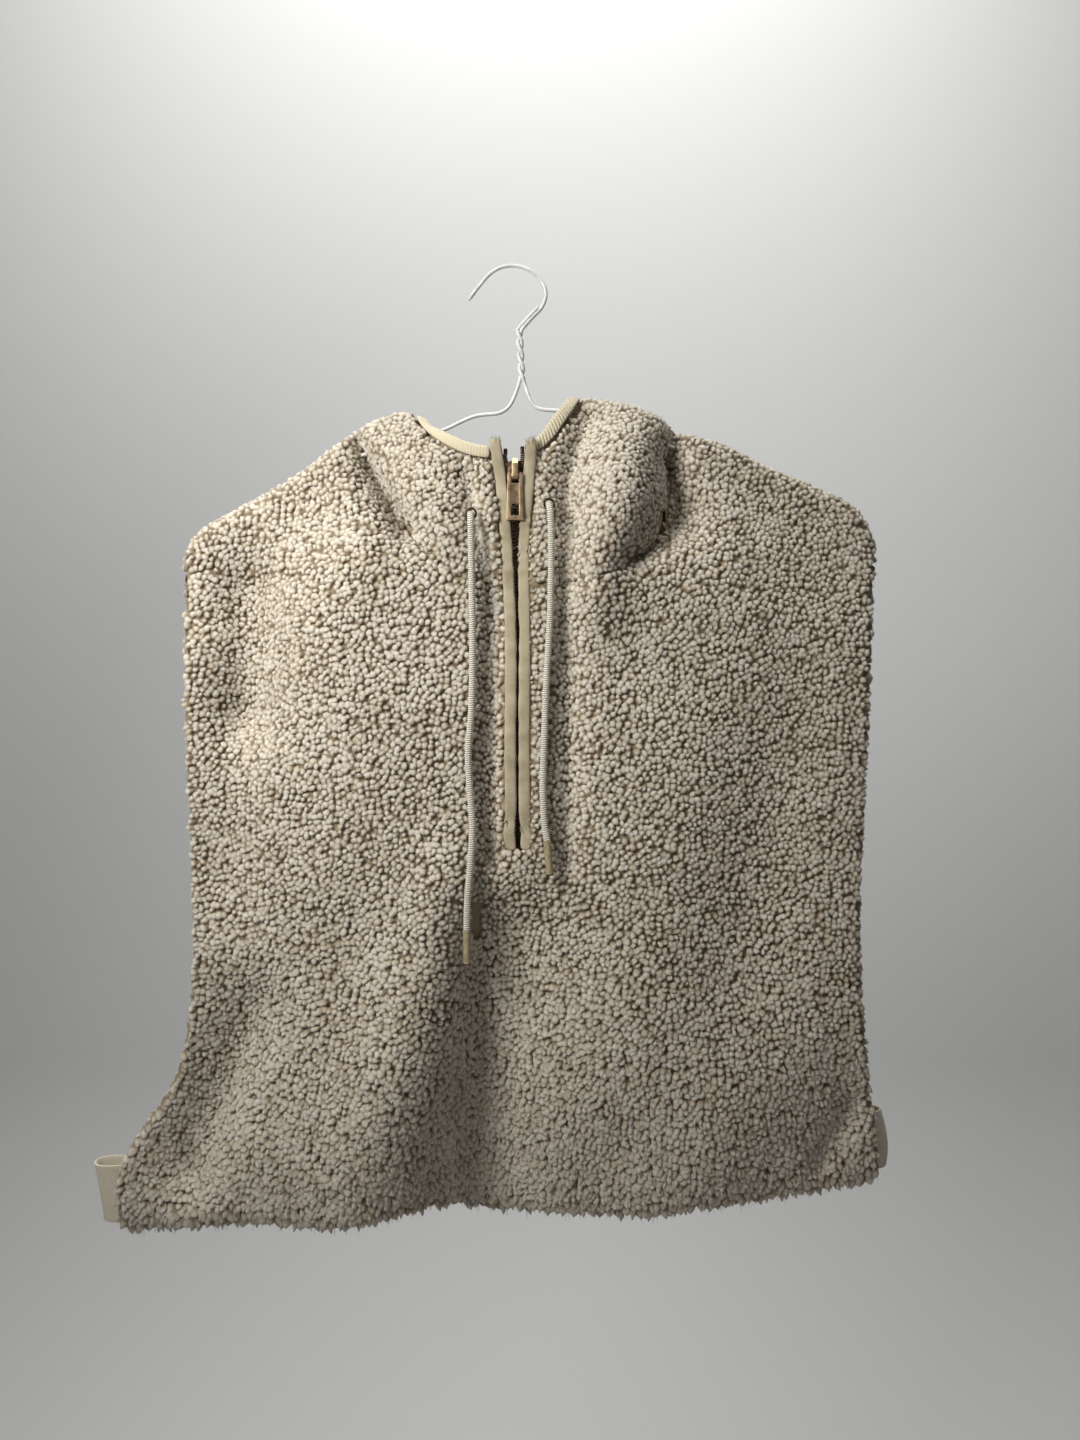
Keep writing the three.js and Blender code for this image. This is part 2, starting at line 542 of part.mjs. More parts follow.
// Collar: one strip from the left of the zip round the back to its right.
function collarSection({ x, z, rimX, rimZ, roll, lift }, side) {
  const way = facingWay(side);
  const inRim = 1 - ((rimX - RIM.x) / RIM.halfWidth) ** 2;
  const rimDepth = RIM[side] * Math.sqrt(Math.max(inRim, 0));
  const seamFacing = skinFacing(side, x, z);
  const length = Math.hypot(rimX - x, rimZ - z, rimDepth - plainDepth(side, x, z));
  const lastFull = 1 - SQUEEZE.from / length;
  const squeezed = 1 - SQUEEZE.to / length;
  const full = Array.from({ length: ROWS.collar }, (_, i) => (
    Math.max((i / (ROWS.collar - 1)) * lastFull, NECK_GAP / length)
  ));
  const heights = [...full, squeezed, 1];
  const plain = heights.map((up) => new THREE.Vector3(
    mix(x, rimX, up),
    way * mix(plainDepth(side, x, z), rimDepth, up),
    mix(z, rimZ, up) + lift * BELLY * up * up * (1 - up),
  ));
  const shaped = plain.map((point, i) => {
    const up = heights[i];
    const folds = side === 'front' ? FRONT_FOLDS : BACK_FOLDS;
    const fold = foldHeight(folds, point.x, point.z) * (1 - up ** 3)
      * smooth((crest(point.x) - point.z) / FOLD_RUN);
    return point.clone()
      .add(new THREE.Vector3(0, way * fold, 0))
      .addScaledVector(seamFacing, roll * BELLY * up * (1 - up) ** 2);
  });
  return { plain, shaped, seamFacing };
}

const collarSections = [
  ...neckLeft.slice().reverse().map((row) => collarSection(row, 'front')),
  ...neckBack.slice(1).map((row) => collarSection(row, 'back')),
  ...neckRight.slice(1).map((row) => collarSection(row, 'front')),
];
const collarGrid = collarSections.map(({ shaped }) => shaped);
const collarFacings = gridFacings(collarSections.map(({ plain }) => plain), -1);
collarSections.forEach(({ seamFacing }, i) => {
  collarFacings[i][0] = seamFacing;
});
const rimRow = collarGrid[0].length - 1;
const isSqueezed = (row) => row >= rimRow - 1;
collarGrid.forEach((points, i) => points.forEach((point, row) => {
  const inwards = isSqueezed(row) ? -(COLLAR_WALL - COLLAR_EDGE) / 2 : 0;
  point.addScaledVector(collarFacings[i][row], inwards);
}));
const collarThickness = (_, row) => (isSqueezed(row) ? COLLAR_EDGE : COLLAR_WALL);
const collar = add('collar', wall(collarGrid, collarFacings, collarThickness), fleece());

// Binding: a tape folded over the collar's edge and sewn through.
function bindingGeometry() {
  const half = BINDING.thickness / 2;
  const top = -(BINDING.tape + GAP);
  const foot = BINDING.height + top;
  const profile = [
    { out: half, down: foot, nx: 1, ny: 0 },
    { out: half, down: 1.2, nx: 1, ny: 0 },
    { out: 0.75 * half, down: -0.8, nx: 0.75, ny: -0.66 },
    { out: 0, down: top, nx: 0, ny: -1 },
    { out: -0.75 * half, down: -0.8, nx: -0.75, ny: -0.66 },
    { out: -half, down: 1.2, nx: -1, ny: 0 },
    { out: -half, down: foot, nx: -1, ny: 0 },
  ];
  const grid = [];
  const facings = [];
  collarGrid.forEach((points, i) => {
    const middleOf = (row) => (
      points[row].clone().addScaledVector(collarFacings[i][row], -COLLAR_EDGE / 2)
    );
    const middle = middleOf(rimRow);
    const down = middleOf(rimRow - 1).sub(middle).normalize();
    const facing = collarFacings[i][rimRow].clone().add(collarFacings[i][rimRow - 1]);
    facing.addScaledVector(down, -facing.dot(down)).normalize();
    grid.push(profile.map((place) => (
      middle.clone().addScaledVector(facing, place.out).addScaledVector(down, place.down)
    )));
    facings.push(profile.map(({ nx, ny }) => (
      facing.clone().multiplyScalar(nx).addScaledVector(down, ny).normalize()
    )));
  });
  return wall(grid, facings, () => BINDING.tape);
}
add('collar_binding', bindingGeometry(), bindingCloth());

// Zip. Its skin is the plane of the facings' fronts, which slopes from the rim to the neck seam.
const NECK_AT_ZIP = -224;
const RIM_AT_ZIP = -130;
const ZIP_SINK = 0.6;
function zipSkin(z) {
  const onBody = plainDepth('front', SLIDER.x, Math.min(z, NECK_AT_ZIP));
  const up = (z - NECK_AT_ZIP) / (RIM_AT_ZIP - NECK_AT_ZIP);
  return (up > 0 ? mix(onBody, RIM.front, up) : onBody) - ZIP_SINK;
}

// A strip down the zip: its middle and width at each height, set back from the zip's skin.
function zipStrip(top, bottom, steps, outline, { middle, width, set, thickness }) {
  const rings = Array.from({ length: steps + 1 }, (_, i) => {
    const z = mix(top, bottom, i / steps);
    return outline.map(({ x, y }) => new THREE.Vector3(
      middle(z) + x * width(z) / 2,
      -zipSkin(z) + set + thickness / 2 + y * thickness / 2,
      z,
    ));
  });
  return loft(rings);
}

const OVAL = [
  { x: 1, y: 0 }, { x: 0.86, y: 0.75 }, { x: 0.4, y: 1 }, { x: -0.4, y: 1 }, { x: -0.86, y: 0.75 },
  { x: -1, y: 0 }, { x: -0.86, y: -0.75 }, { x: -0.4, y: -1 }, { x: 0.4, y: -1 },
  { x: 0.86, y: -0.75 },
];
const FLAT = [{ x: 1, y: 1 }, { x: -1, y: 1 }, { x: -1, y: -1 }, { x: 1, y: -1 }];
const atZip = (column) => (z) => lookUp(ZIP, 'z', column, z);

for (const side of ['left', 'right']) {
  const facingLine = atZip(side);
  add(`zip_facing_${side}`, zipStrip(FACING.top, FACING.bottom, 26, OVAL, {
    middle: facingLine, width: () => FACING.width, set: 0, thickness: FACING.thickness,
  }), facingCloth());
  const inner = atZip(side === 'left' ? 'tapeLeft' : 'tapeRight');
  const outer = (z) => facingLine(z) + (side === 'left' ? -1 : 1) * (FACING.width / 2 - TAPE.tuck);
  add(`zip_tape_${side}`, zipStrip(TAPE.top, FACING.bottom, 20, FLAT, {
    middle: (z) => (inner(z) + outer(z)) / 2,
    width: (z) => Math.abs(inner(z) - outer(z)),
    set: TAPE.set,
    thickness: TAPE.thickness,
  }), darkTape());
}
add('zip_chain', zipStrip(CHAIN.top, CHAIN.bottom, 18, FLAT, {
  middle: atZip('chain'), width: () => CHAIN.width, set: CHAIN.set, thickness: CHAIN.thickness,
}), darkMetal());

// Slider, pull tab and top stops lean with the zip; the tab's pin is their origin.
const zipLean = Math.atan(
  (zipSkin(NECK_AT_ZIP) - zipSkin(RIM_AT_ZIP)) / (RIM_AT_ZIP - NECK_AT_ZIP),
);
const hardware = new THREE.Group();
hardware.position.set(SLIDER.x, -zipSkin(PIN.z), PIN.z);
hardware.rotation.x = -zipLean;
vest.add(hardware);

const box = (width, thick, height, x, y, z) => (
  new THREE.BoxGeometry(width, thick, height).translate(x, y, z)
);

// A plate cut to an outline seen from the front, from one depth back to another.
function plate(outline, front, back) {
  const shape = new THREE.Shape(outline.map(([x, z]) => new THREE.Vector2(x, z)));
  const geometry = new THREE.ExtrudeGeometry(shape, { depth: back - front, bevelEnabled: false });
  return geometry.rotateX(Math.PI / 2).translate(0, back, 0);
}

function sliderGeometry() {
  const top = SLIDER.top - PIN.z;
  const foot = top - SLIDER.height;
  const wide = SLIDER.shoulders / 2;
  const narrow = SLIDER.waist / 2;
  const outline = [
    [-wide + 1.5, top], [-wide, top - 2], [-wide, top - 6], [-narrow, foot + 2],
    [-narrow + 1, foot], [narrow - 1, foot], [narrow, foot + 2], [wide, top - 6],
    [wide, top - 2], [wide - 1.5, top],
  ];
  const behind = CHAIN.set + CHAIN.thickness + SLIDER_CLEARANCE;
  const front = CHAIN.set - SLIDER_CLEARANCE;
  const wedge = [[-1.8, top], [0, top - 5.2], [1.8, top]];
  const pinFace = PIN.reach + PIN.radius + GAP;
  const outer = pinFace + BRIDGE.bar;
  const low = -PIN.radius - GAP;
  const high = low + BRIDGE.height - 2 * BRIDGE.bar;
  const root = front - SLIDER.plate / 2;
  const side = [
    [root, high + BRIDGE.bar], [-outer + 3, high + BRIDGE.bar], [-outer, high - 3],
    [-outer, low], [-outer + 1, low - BRIDGE.bar], [root, low - BRIDGE.bar],
    [root, low], [-pinFace, low], [-pinFace, high - 3.4], [-pinFace + 2.6, high], [root, high],
  ];
  const shape = new THREE.Shape(side.map(([y, z]) => new THREE.Vector2(y, z)));
  const bridge = new THREE.ExtrudeGeometry(shape, { depth: BRIDGE.width, bevelEnabled: false })
    .rotateX(Math.PI / 2)
    .rotateZ(Math.PI / 2)
    .translate(-BRIDGE.width / 2, 0, 0);
  return join([
    plate(outline, front - SLIDER.plate, front),
    plate(outline, behind, behind + SLIDER.plate),
    plate(wedge, front - SLIDER.plate / 2, behind + SLIDER.plate / 2),
    bridge,
  ]);
}
add('slider', sliderGeometry(), darkMetal(), hardware);

// Pull tab: a forked plate with a window near its foot, on a pin under the slider's bridge.
function tabGeometry() {
  const tip = PIN.radius + 1.1;
  const foot = tip - TAB.length - 1.8;
  const top = TAB.top / 2;
  const bottom = TAB.bottom / 2;
  const slot = TAB.slot / 2;
  const outline = [
    [-slot, -TAB.slotDepth], [-slot, tip - 0.8], [-slot - 0.8, tip], [-top + 0.6, tip],
    [-top, tip - 1.2], [-bottom, foot + 1], [-bottom + 1, foot], [bottom - 1, foot],
    [bottom, foot + 1], [top, tip - 1.2], [top - 0.6, tip], [slot + 0.8, tip],
    [slot, tip - 0.8], [slot, -TAB.slotDepth],
  ];
  const front = -PIN.reach - TAB.thickness / 2;
  const windowMiddle = foot + TAB_WINDOW.foot + TAB_WINDOW.height / 2;
  const body = plate(outline, front, front + TAB.thickness);
  const opening = box(TAB_WINDOW.width, 6, TAB_WINDOW.height, 0, -PIN.reach, windowMiddle);
  const pin = new THREE.CylinderGeometry(PIN.radius, PIN.radius, TAB.slot + 2, 16)
    .rotateZ(Math.PI / 2)
    .translate(0, -PIN.reach, 0);
  return join([cut(body, opening), pin]);
}
add('pull_tab', tabGeometry(), goldMetal(), hardware);

for (const { side, x, z } of STOPS) {
  const y = CHAIN.set + CHAIN.thickness / 2;
  add(`zip_stop_${side}`, box(STOP.width, STOP.depth, STOP.height, x, y, z), darkMetal(), hardware);
}

// Drawcord ends, each out of an eyelet in the collar and finished with a crimped aglet.
collar.updateWorldMatrix(true, false);
function collarAt(x, z) {
  const ray = new THREE.Raycaster(new THREE.Vector3(x, -200, z), new THREE.Vector3(0, 1, 0));
  const [hit] = ray.intersectObject(collar);
  return { point: hit.point, facing: hit.face.normal };
}

for (const side of ['left', 'right']) {
  const rows = CORDS[side];
  const { point, facing } = collarAt(rows[0].x, rows[0].z);
  const { bore, rim, thickness } = EYELET;
  const ring = new THREE.LatheGeometry([
    new THREE.Vector2(bore, 0), new THREE.Vector2(rim, 0), new THREE.Vector2(rim, thickness),
    new THREE.Vector2(bore, thickness), new THREE.Vector2(bore, 0),
  ], 20);
  const eyelet = add(`eyelet_${side}`, ring, darkMetal());
  eyelet.position.copy(point).addScaledVector(facing, EYELET.seat);
  eyelet.quaternion.setFromUnitVectors(new THREE.Vector3(0, 1, 0), facing);

  add(`drawcord_${side}`, roundBar(rows, CORD.diameter, CORD.stepsPerRow, CORD.sides), cordYarn());
  const tip = AGLET_TIPS[side];
  const end = rows[rows.length - 1];
  const from = new THREE.Vector3(end.x, end.y, end.z);
  const way = new THREE.Vector3(tip.x, tip.y, tip.z).sub(from).normalize();
  const sleeve = new THREE.CylinderGeometry(AGLET.radius, AGLET.radius, AGLET.length, 12);
  const sleeveMesh = add(`aglet_${side}`, sleeve, aglet());
  sleeveMesh.position.copy(from).addScaledVector(way, GAP + AGLET.length / 2);
  sleeveMesh.quaternion.setFromUnitVectors(new THREE.Vector3(0, 1, 0), way);
}

// Elastic side bands: flat woven loops between the lower corners of front and back.
function bandGeometry({ top, lean, path }) {
  const places = path.map(({ x, y }) => new THREE.Vector3(x, y, 0));
  const line = new THREE.CatmullRomCurve3(places, false, 'centripetal');
  const steps = 18;
  const grid = [top, top - BAND.height].map((z, row) => (
    Array.from({ length: steps + 1 }, (_, i) => (
      line.getPointAt(i / steps).add(new THREE.Vector3(row * lean, 0, z))
    ))
  ));
  return wall(grid, gridFacings(grid, 1), () => BAND.thickness);
}
for (const side of ['left', 'right']) {
  add(`side_band_${side}`, bandGeometry(BANDS[side]), elastic());
}

// Hanger: the wire runs from the hook down the twist, round the frame and back up the twist.
function twistRows(phase) {
  const perTurn = 10;
  const count = TWIST.turns * perTurn;
  return Array.from({ length: count + 1 }, (_, i) => {
    const down = i / count;
    const angle = phase + 2 * Math.PI * TWIST.turns * down;
    const radius = (WIRE + GAP) / 2;
    return {
      x: mix(TWIST.topX, TWIST.footX, down) + radius * Math.cos(angle),
      y: radius * Math.sin(angle),
      z: mix(TWIST.top, TWIST.foot, down),
    };
  });
}
add('hanger', roundBar([
  ...HOOK,
  ...twistRows(0),
  ...ARM_RIGHT,
  ...ARM_LEFT.slice().reverse(),
  ...twistRows(Math.PI).reverse(),
  ...TAIL.slice().reverse(),
], WIRE, 2, 8), wireCoat());

export default vest;
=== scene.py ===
import json
import math
import random

import bmesh
import bpy
import numpy as np
from mathutils import Matrix, Vector, noise

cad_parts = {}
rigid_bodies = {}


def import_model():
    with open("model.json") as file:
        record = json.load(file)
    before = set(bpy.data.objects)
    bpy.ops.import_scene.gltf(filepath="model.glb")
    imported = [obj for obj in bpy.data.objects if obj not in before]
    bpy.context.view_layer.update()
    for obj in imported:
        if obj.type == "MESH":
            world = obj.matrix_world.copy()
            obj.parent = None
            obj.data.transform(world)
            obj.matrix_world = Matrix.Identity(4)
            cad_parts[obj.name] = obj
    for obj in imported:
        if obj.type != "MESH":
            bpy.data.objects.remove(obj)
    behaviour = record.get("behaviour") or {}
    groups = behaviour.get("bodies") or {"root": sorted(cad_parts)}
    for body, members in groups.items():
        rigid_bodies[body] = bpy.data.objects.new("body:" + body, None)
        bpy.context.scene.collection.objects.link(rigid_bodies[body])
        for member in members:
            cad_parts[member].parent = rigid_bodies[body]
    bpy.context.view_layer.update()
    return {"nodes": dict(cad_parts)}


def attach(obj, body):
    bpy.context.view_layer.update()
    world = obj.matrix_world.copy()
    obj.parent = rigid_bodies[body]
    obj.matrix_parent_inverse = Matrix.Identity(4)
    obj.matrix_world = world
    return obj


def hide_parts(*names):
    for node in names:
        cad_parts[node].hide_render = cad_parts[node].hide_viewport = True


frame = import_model()
cad = frame["nodes"]

# ---------------------------------------------------------------- camera
# Seen straight on from the height of the chest, a little to the right of the hook.
camera = bpy.data.objects.new("camera", bpy.data.cameras.new("camera"))
camera.data.sensor_width = 36
camera.data.lens = 27.04
camera.location = (0.0177, -0.735, -0.3074)
camera.rotation_euler = (math.pi / 2, 0, 0)
bpy.context.collection.objects.link(camera)
bpy.context.scene.camera = camera
bpy.context.scene.view_settings.view_transform = "Standard"


# ---------------------------------------------------------------- drawcord ends
# Two free ends of a round off-white cord, tightly knitted so that fine ribs run across it.
# They come out of eyelets in the collar and hang in front of the chest.
CORD_DIAMETER = 0.0045
CORD_RIB = 0.0014
CORD_ROUTES = {
    "left": [
        (-26.8, -40.7, -174.6), (-26.6, -43.2, -180), (-26.3, -43.6, -192),
        (-26, -43.4, -214), (-25.4, -44.2, -264), (-26, -46.2, -301),
        (-28, -47.2, -329), (-26.8, -48.2, -352), (-25.2, -49.6, -374),
        (-26, -51.4, -395), (-28.2, -51.6, -422), (-28.6, -51.2, -440),
    ],
    "right": [
        (23.5, -36.8, -167.5), (24.2, -39.6, -173), (24.8, -40.6, -183),
        (25, -40.8, -198), (24.1, -41.4, -243), (21.7, -42.8, -284),
        (20.6, -44.2, -317), (19.6, -45.2, -350), (20.6, -46.3, -374),
        (22.2, -46.9, -384),
    ],
}
AGLET_TIPS = {"left": (-28.4, -50.4, -463), "right": (24, -47.8, -406)}


def linear(red, green, blue):
    """A colour given 0 to 255, as the shaders take it."""
    return tuple(
        (c / 255 / 12.92) if c / 255 <= 0.04045 else ((c / 255 + 0.055) / 1.055) ** 2.4
        for c in (red, green, blue)
    ) + (1,)


def metres(rows):
    """Rows of millimetres as vectors in metres."""
    return [Vector(row) / 1000 for row in rows]


def smooth_route(points, spacing):
    """A smooth line through points, stepped evenly along its length."""
    p = [Vector(q) for q in points]
    ends = [2 * p[0] - p[1], *p, 2 * p[-1] - p[-2]]
    fine = []
    for a, b, c, d in zip(ends, ends[1:], ends[2:], ends[3:]):
        t0, t1, t2 = ((v - u).length ** 0.5 for u, v in ((a, b), (b, c), (c, d)))
        m1 = ((b - a) / t0 - (c - a) / (t0 + t1) + (c - b) / t1) * t1
        m2 = ((c - b) / t1 - (d - b) / (t1 + t2) + (d - c) / t2) * t1
        for k in range(40):
            t = k / 40
            fine.append(
                (2 * t**3 - 3 * t**2 + 1) * b + (t**3 - 2 * t**2 + t) * m1
                + (3 * t**2 - 2 * t**3) * c + (t**3 - t**2) * m2
            )
    fine.append(p[-1])
    xyz = np.array(fine)
    run = np.concatenate([[0], np.cumsum(np.linalg.norm(np.diff(xyz, axis=0), axis=1))])
    count = max(2, round(run[-1] / spacing))
    at = np.linspace(0, run[-1], count + 1)
    return [Vector([np.interp(s, run, xyz[:, k]) for k in range(3)]) for s in at]


def piece(name, points, faces, material, uv=None, smooth=True):
    """A named mesh at the origin. uv gives each face's corners."""
    mesh = bpy.data.meshes.new(name)
    mesh.from_pydata([tuple(p) for p in points], [], faces)
    if uv is not None:
        layer = mesh.uv_layers.new(name="run")
        layer.data.foreach_set("uv", np.array(uv, dtype=np.float32).ravel())
    mesh.polygons.foreach_set("use_smooth", [smooth] * len(mesh.polygons))
    mesh.materials.append(material)
    obj = bpy.data.objects.new(name, mesh)
    bpy.context.collection.objects.link(obj)
    return obj


def tube(name, path, radius, sides, material):
    """A closed round bar. radius(run, angle) may vary; uv is the turn and the length in metres."""
    points, faces, uv = [], [], []
    side_way = None
    run = 0
    for i, at in enumerate(path):
        ahead = (path[min(i + 1, len(path) - 1)] - path[max(i - 1, 0)]).normalized()
        if side_way is None:
            side_way = ahead.orthogonal().normalized()
        side_way = (side_way - ahead * side_way.dot(ahead)).normalized()
        other = ahead.cross(side_way)
        run += (at - path[i - 1]).length if i else 0
        for k in range(sides):
            angle = 2 * math.pi * k / sides
            r = radius(run, angle)
            points.append(at + r * (math.cos(angle) * side_way + math.sin(angle) * other))
        if i:
            for k in range(sides):
                n = (k + 1) % sides
                a = (i - 1) * sides
                faces.append((a + k, a + n, a + sides + n, a + sides + k))
                before = run - (at - path[i - 1]).length
                uv += [
                    ((k + m) / sides, s) for m, s in ((0, before), (1, before), (1, run), (0, run))
                ]
    last = len(points) - sides
    faces.append(tuple(reversed(range(sides))))
    faces.append(tuple(range(last, last + sides)))
    uv += [(0, 0)] * sides + [(0, run)] * sides
    return piece(name, points, faces, material, uv)


def shader(name, color, roughness, metallic=0.0, sheen=0.0, specular=0.5, coat=0.0):
    """A plain surface. Returns the material, its tree and its Principled node."""
    material = bpy.data.materials.new(name)
    material.use_nodes = True
    nodes = material.node_tree
    surface = nodes.nodes["Principled BSDF"]
    for key, value in {
        "Base Color": linear(*color), "Roughness": roughness, "Metallic": metallic,
        "Sheen Weight": sheen, "Specular IOR Level": specular, "Coat Weight": coat,
    }.items():
        surface.inputs[key].default_value = value
    return material, nodes, surface


def wire(tree, kind, inputs=None, **settings):
    """Adds a node. An input is a plain value or another node's output."""
    node = tree.nodes.new(kind)
    for key, value in settings.items():
        setattr(node, key, value)
    for key, value in (inputs or {}).items():
        if isinstance(value, bpy.types.NodeSocket):
            tree.links.new(value, node.inputs[key])
        else:
            node.inputs[key].default_value = value
    return node


def sum_of(tree, operation, a, b=0.0, c=0.0):
    return wire(tree, "ShaderNodeMath", {0: a, 1: b, 2: c}, operation=operation).outputs[0]


def tint(tree, surface, factor, *stops):
    """Colours a surface along a 0 to 1 value. A stop is its place, red, green and blue."""
    ramp = wire(tree, "ShaderNodeValToRGB", {0: factor})
    steps = ramp.color_ramp.elements
    while len(steps) < len(stops):
        steps.new(0.5)
    for step, (at, *color) in zip(steps, stops):
        step.position = at
        step.color = linear(*color)
    tree.links.new(ramp.outputs[0], surface.inputs["Base Color"])


def bump(tree, surface, height, distance, strength=1.0):
    made = wire(tree, "ShaderNodeBump", {
        "Height": height, "Distance": distance, "Strength": strength,
    })
    tree.links.new(made.outputs[0], surface.inputs["Normal"])


def grain(tree, scale, detail, **more):
    """Noise fixed to a piece, 0 to 1. A larger scale is finer."""
    spot = wire(tree, "ShaderNodeTexCoord").outputs["Object"]
    return wire(tree, "ShaderNodeTexNoise", {
        "Vector": spot, "Scale": scale, "Detail": detail, **more,
    }).outputs[0]


def run_of(tree):
    """The two values of a piece's own uv."""
    uv = wire(tree, "ShaderNodeUVMap", uv_map="run").outputs[0]
    return wire(tree, "ShaderNodeSeparateXYZ", {0: uv}).outputs[:2]


def place(obj, body, slot, *stands_for):
    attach(obj, body)
    if stands_for:
        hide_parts(*stands_for)
    return obj


cord_yarn, nodes, surface = shader("cord yarn", (222, 216, 200), 0.75, sheen=0.2, specular=0.3)
around, along = run_of(nodes)
turn = sum_of(nodes, "MULTIPLY", around, 8 * math.pi)
ribs = sum_of(nodes, "MULTIPLY", along, 2 * math.pi / CORD_RIB)
twill = sum_of(nodes, "SINE", sum_of(nodes, "ADD", ribs, sum_of(nodes, "SINE", turn)))
half = sum_of(nodes, "MULTIPLY_ADD", twill, 0.5, 0.5)
hairs = grain(nodes, 2600.0, 2.0)
# The ramp darkens the grooves between the ribs, a painted shade on the off-white yarn.
tint(nodes, surface, half, (0.0, 112, 104, 86), (0.35, 196, 189, 170), (0.8, 236, 231, 216))
bump(nodes, surface, sum_of(nodes, "MULTIPLY_ADD", hairs, 0.6, half), 0.0004, 0.6)

aglet_skin, nodes, surface = shader("aglet", (172, 152, 118), 0.42, specular=0.5)
scuffs = grain(nodes, 420.0, 4.0)
tint(nodes, surface, scuffs, (0.3, 136, 122, 92), (0.55, 160, 145, 112), (0.8, 180, 166, 134))
bump(nodes, surface, scuffs, 0.0001, 0.5)
aglet_end, _, _ = shader("aglet end", (52, 40, 28), 0.6)

for side, route in CORD_ROUTES.items():
    path = smooth_route(metres(route), CORD_RIB / 4)

    def cord_radius(run, angle):
        rib = 0.5 + 0.5 * math.sin(2 * math.pi * run / CORD_RIB + math.sin(4 * angle))
        return CORD_DIAMETER / 2 * (0.90 + 0.10 * rib)

    cord = tube(f"drawcord_{side}_braid", path, cord_radius, 14, cord_yarn)
    place(cord, "vest", "cord_yarn", f"drawcord_{side}")

    # The aglet is a sleeve rolled round the cord's end, with a turned lip at each end.
    tip, start = metres([AGLET_TIPS[side]])[0], path[-1]
    way = (tip - start).normalized()
    profile = [
        (0.0003, 1.6), (0.0003, 2.36), (0.0007, 2.5), (0.0013, 2.5), (0.0016, 2.4), (0.002, 2.42),
        (0.0194, 2.42), (0.0198, 2.42), (0.0202, 2.36), (0.0206, 2.46), (0.0214, 2.5),
        (0.0221, 2.42), (0.0223, 2.2), (0.0221, 1.6), (0.0215, 1.5),
    ]
    across = way.orthogonal().normalized()
    sides = 28
    points, faces = [], []
    for height, radius in profile:
        for k in range(sides):
            spin = Matrix.Rotation(2 * math.pi * k / sides, 3, way)
            points.append(start + way * height + spin @ across * radius / 1000)
    for r in range(len(profile) - 1):
        for k in range(sides):
            n = (k + 1) % sides
            faces.append((r * sides + k, r * sides + n, (r + 1) * sides + n, (r + 1) * sides + k))
    faces.append(tuple(reversed(range(sides))))
    faces.append(tuple(range(len(points) - sides, len(points))))
    sleeve = piece(f"aglet_{side}_sleeve", points, faces, aglet_skin)
    sleeve.data.materials.append(aglet_end)
    for face in sleeve.data.polygons:
        if (face.center - start).dot(way) > 0.0217 or face.index == len(faces) - 2:
            face.material_index = 1
    place(sleeve, "vest", "aglet", f"aglet_{side}")


# ---------------------------------------------------------------- fleece panels and collar
# Front, back and collar are cut from one teddy fleece: a knitted backing whose long pile is
# curled into small matted locks. Here each backing is a thin shell on its panel's form.
PILE_SINK = 0.0022                    # how far the backing lies below the tips of the pile
ZIP_X = 0.0005                        # where the zip's middle line lies
HANG_Z = -0.31                        # the height at which a fold moves the cloth straight out

# The backing's brown is partly its own colour and partly painted shade for the crevices between the
# locks.
backing, nodes, surface = shader("fleece backing", (140, 122, 96), 1.0, sheen=0.1, specular=0.1)
spot = wire(nodes, "ShaderNodeTexCoord").outputs["Object"]
knit = wire(nodes, "ShaderNodeTexVoronoi", {"Vector": spot, "Scale": 520.0})
cloud = grain(nodes, 60.0, 3.0)
tint(nodes, surface, cloud, (0.3, 144, 127, 100), (0.7, 172, 156, 128))
bump(nodes, surface, knit.outputs[0], 0.0006, 0.8)


def merged_copy(node, name):
    """A CAD node's form as a mesh of its own, its loose triangles joined."""
    mesh = cad[node].data.copy()
    mesh.name = name
    obj = bpy.data.objects.new(name, mesh)
    bpy.context.collection.objects.link(obj)
    work = bmesh.new()
    work.from_mesh(mesh)
    bmesh.ops.remove_doubles(work, verts=work.verts, dist=2e-6)
    bmesh.ops.dissolve_degenerate(work, edges=work.edges, dist=1e-6)
    work.to_mesh(mesh)
    work.free()
    mesh.materials.clear()
    return obj


def settle(obj):
    """Makes what the modifiers give the piece's own mesh."""
    graph = bpy.context.evaluated_depsgraph_get()
    made = bpy.data.meshes.new_from_object(obj.evaluated_get(graph), depsgraph=graph)
    obj.modifiers.clear()
    obj.data = made
    return made


def softened(obj, levels):
    """Rounds a soft piece off, levels times, and shades it smooth."""
    obj.data.polygons.foreach_set("use_smooth", [True] * len(obj.data.polygons))
    modifier = obj.modifiers.new("soften", "SUBSURF")
    modifier.levels = modifier.render_levels = levels
    return settle(obj)


def front_way(p):
    share = min(max((-0.11 - p.z) / 0.5, 0), 1)
    return Vector((0, -1, 0.6 - 1.1 * share)).normalized()


def back_way(p):
    way = front_way(p)
    return Vector((0, 1, way.z / abs(way.y))).normalized()


def collar_way(p):
    ahead = min(max(-p.y / 0.014, -1), 1)
    return Vector((p.x / 0.1 * (1 - 0.8 * abs(ahead)), -ahead, 0.5)).normalized()


FRONT_SWING, BACK_SWING = 1.36, 1.2   # how much a fold also moves up or down, for each metre

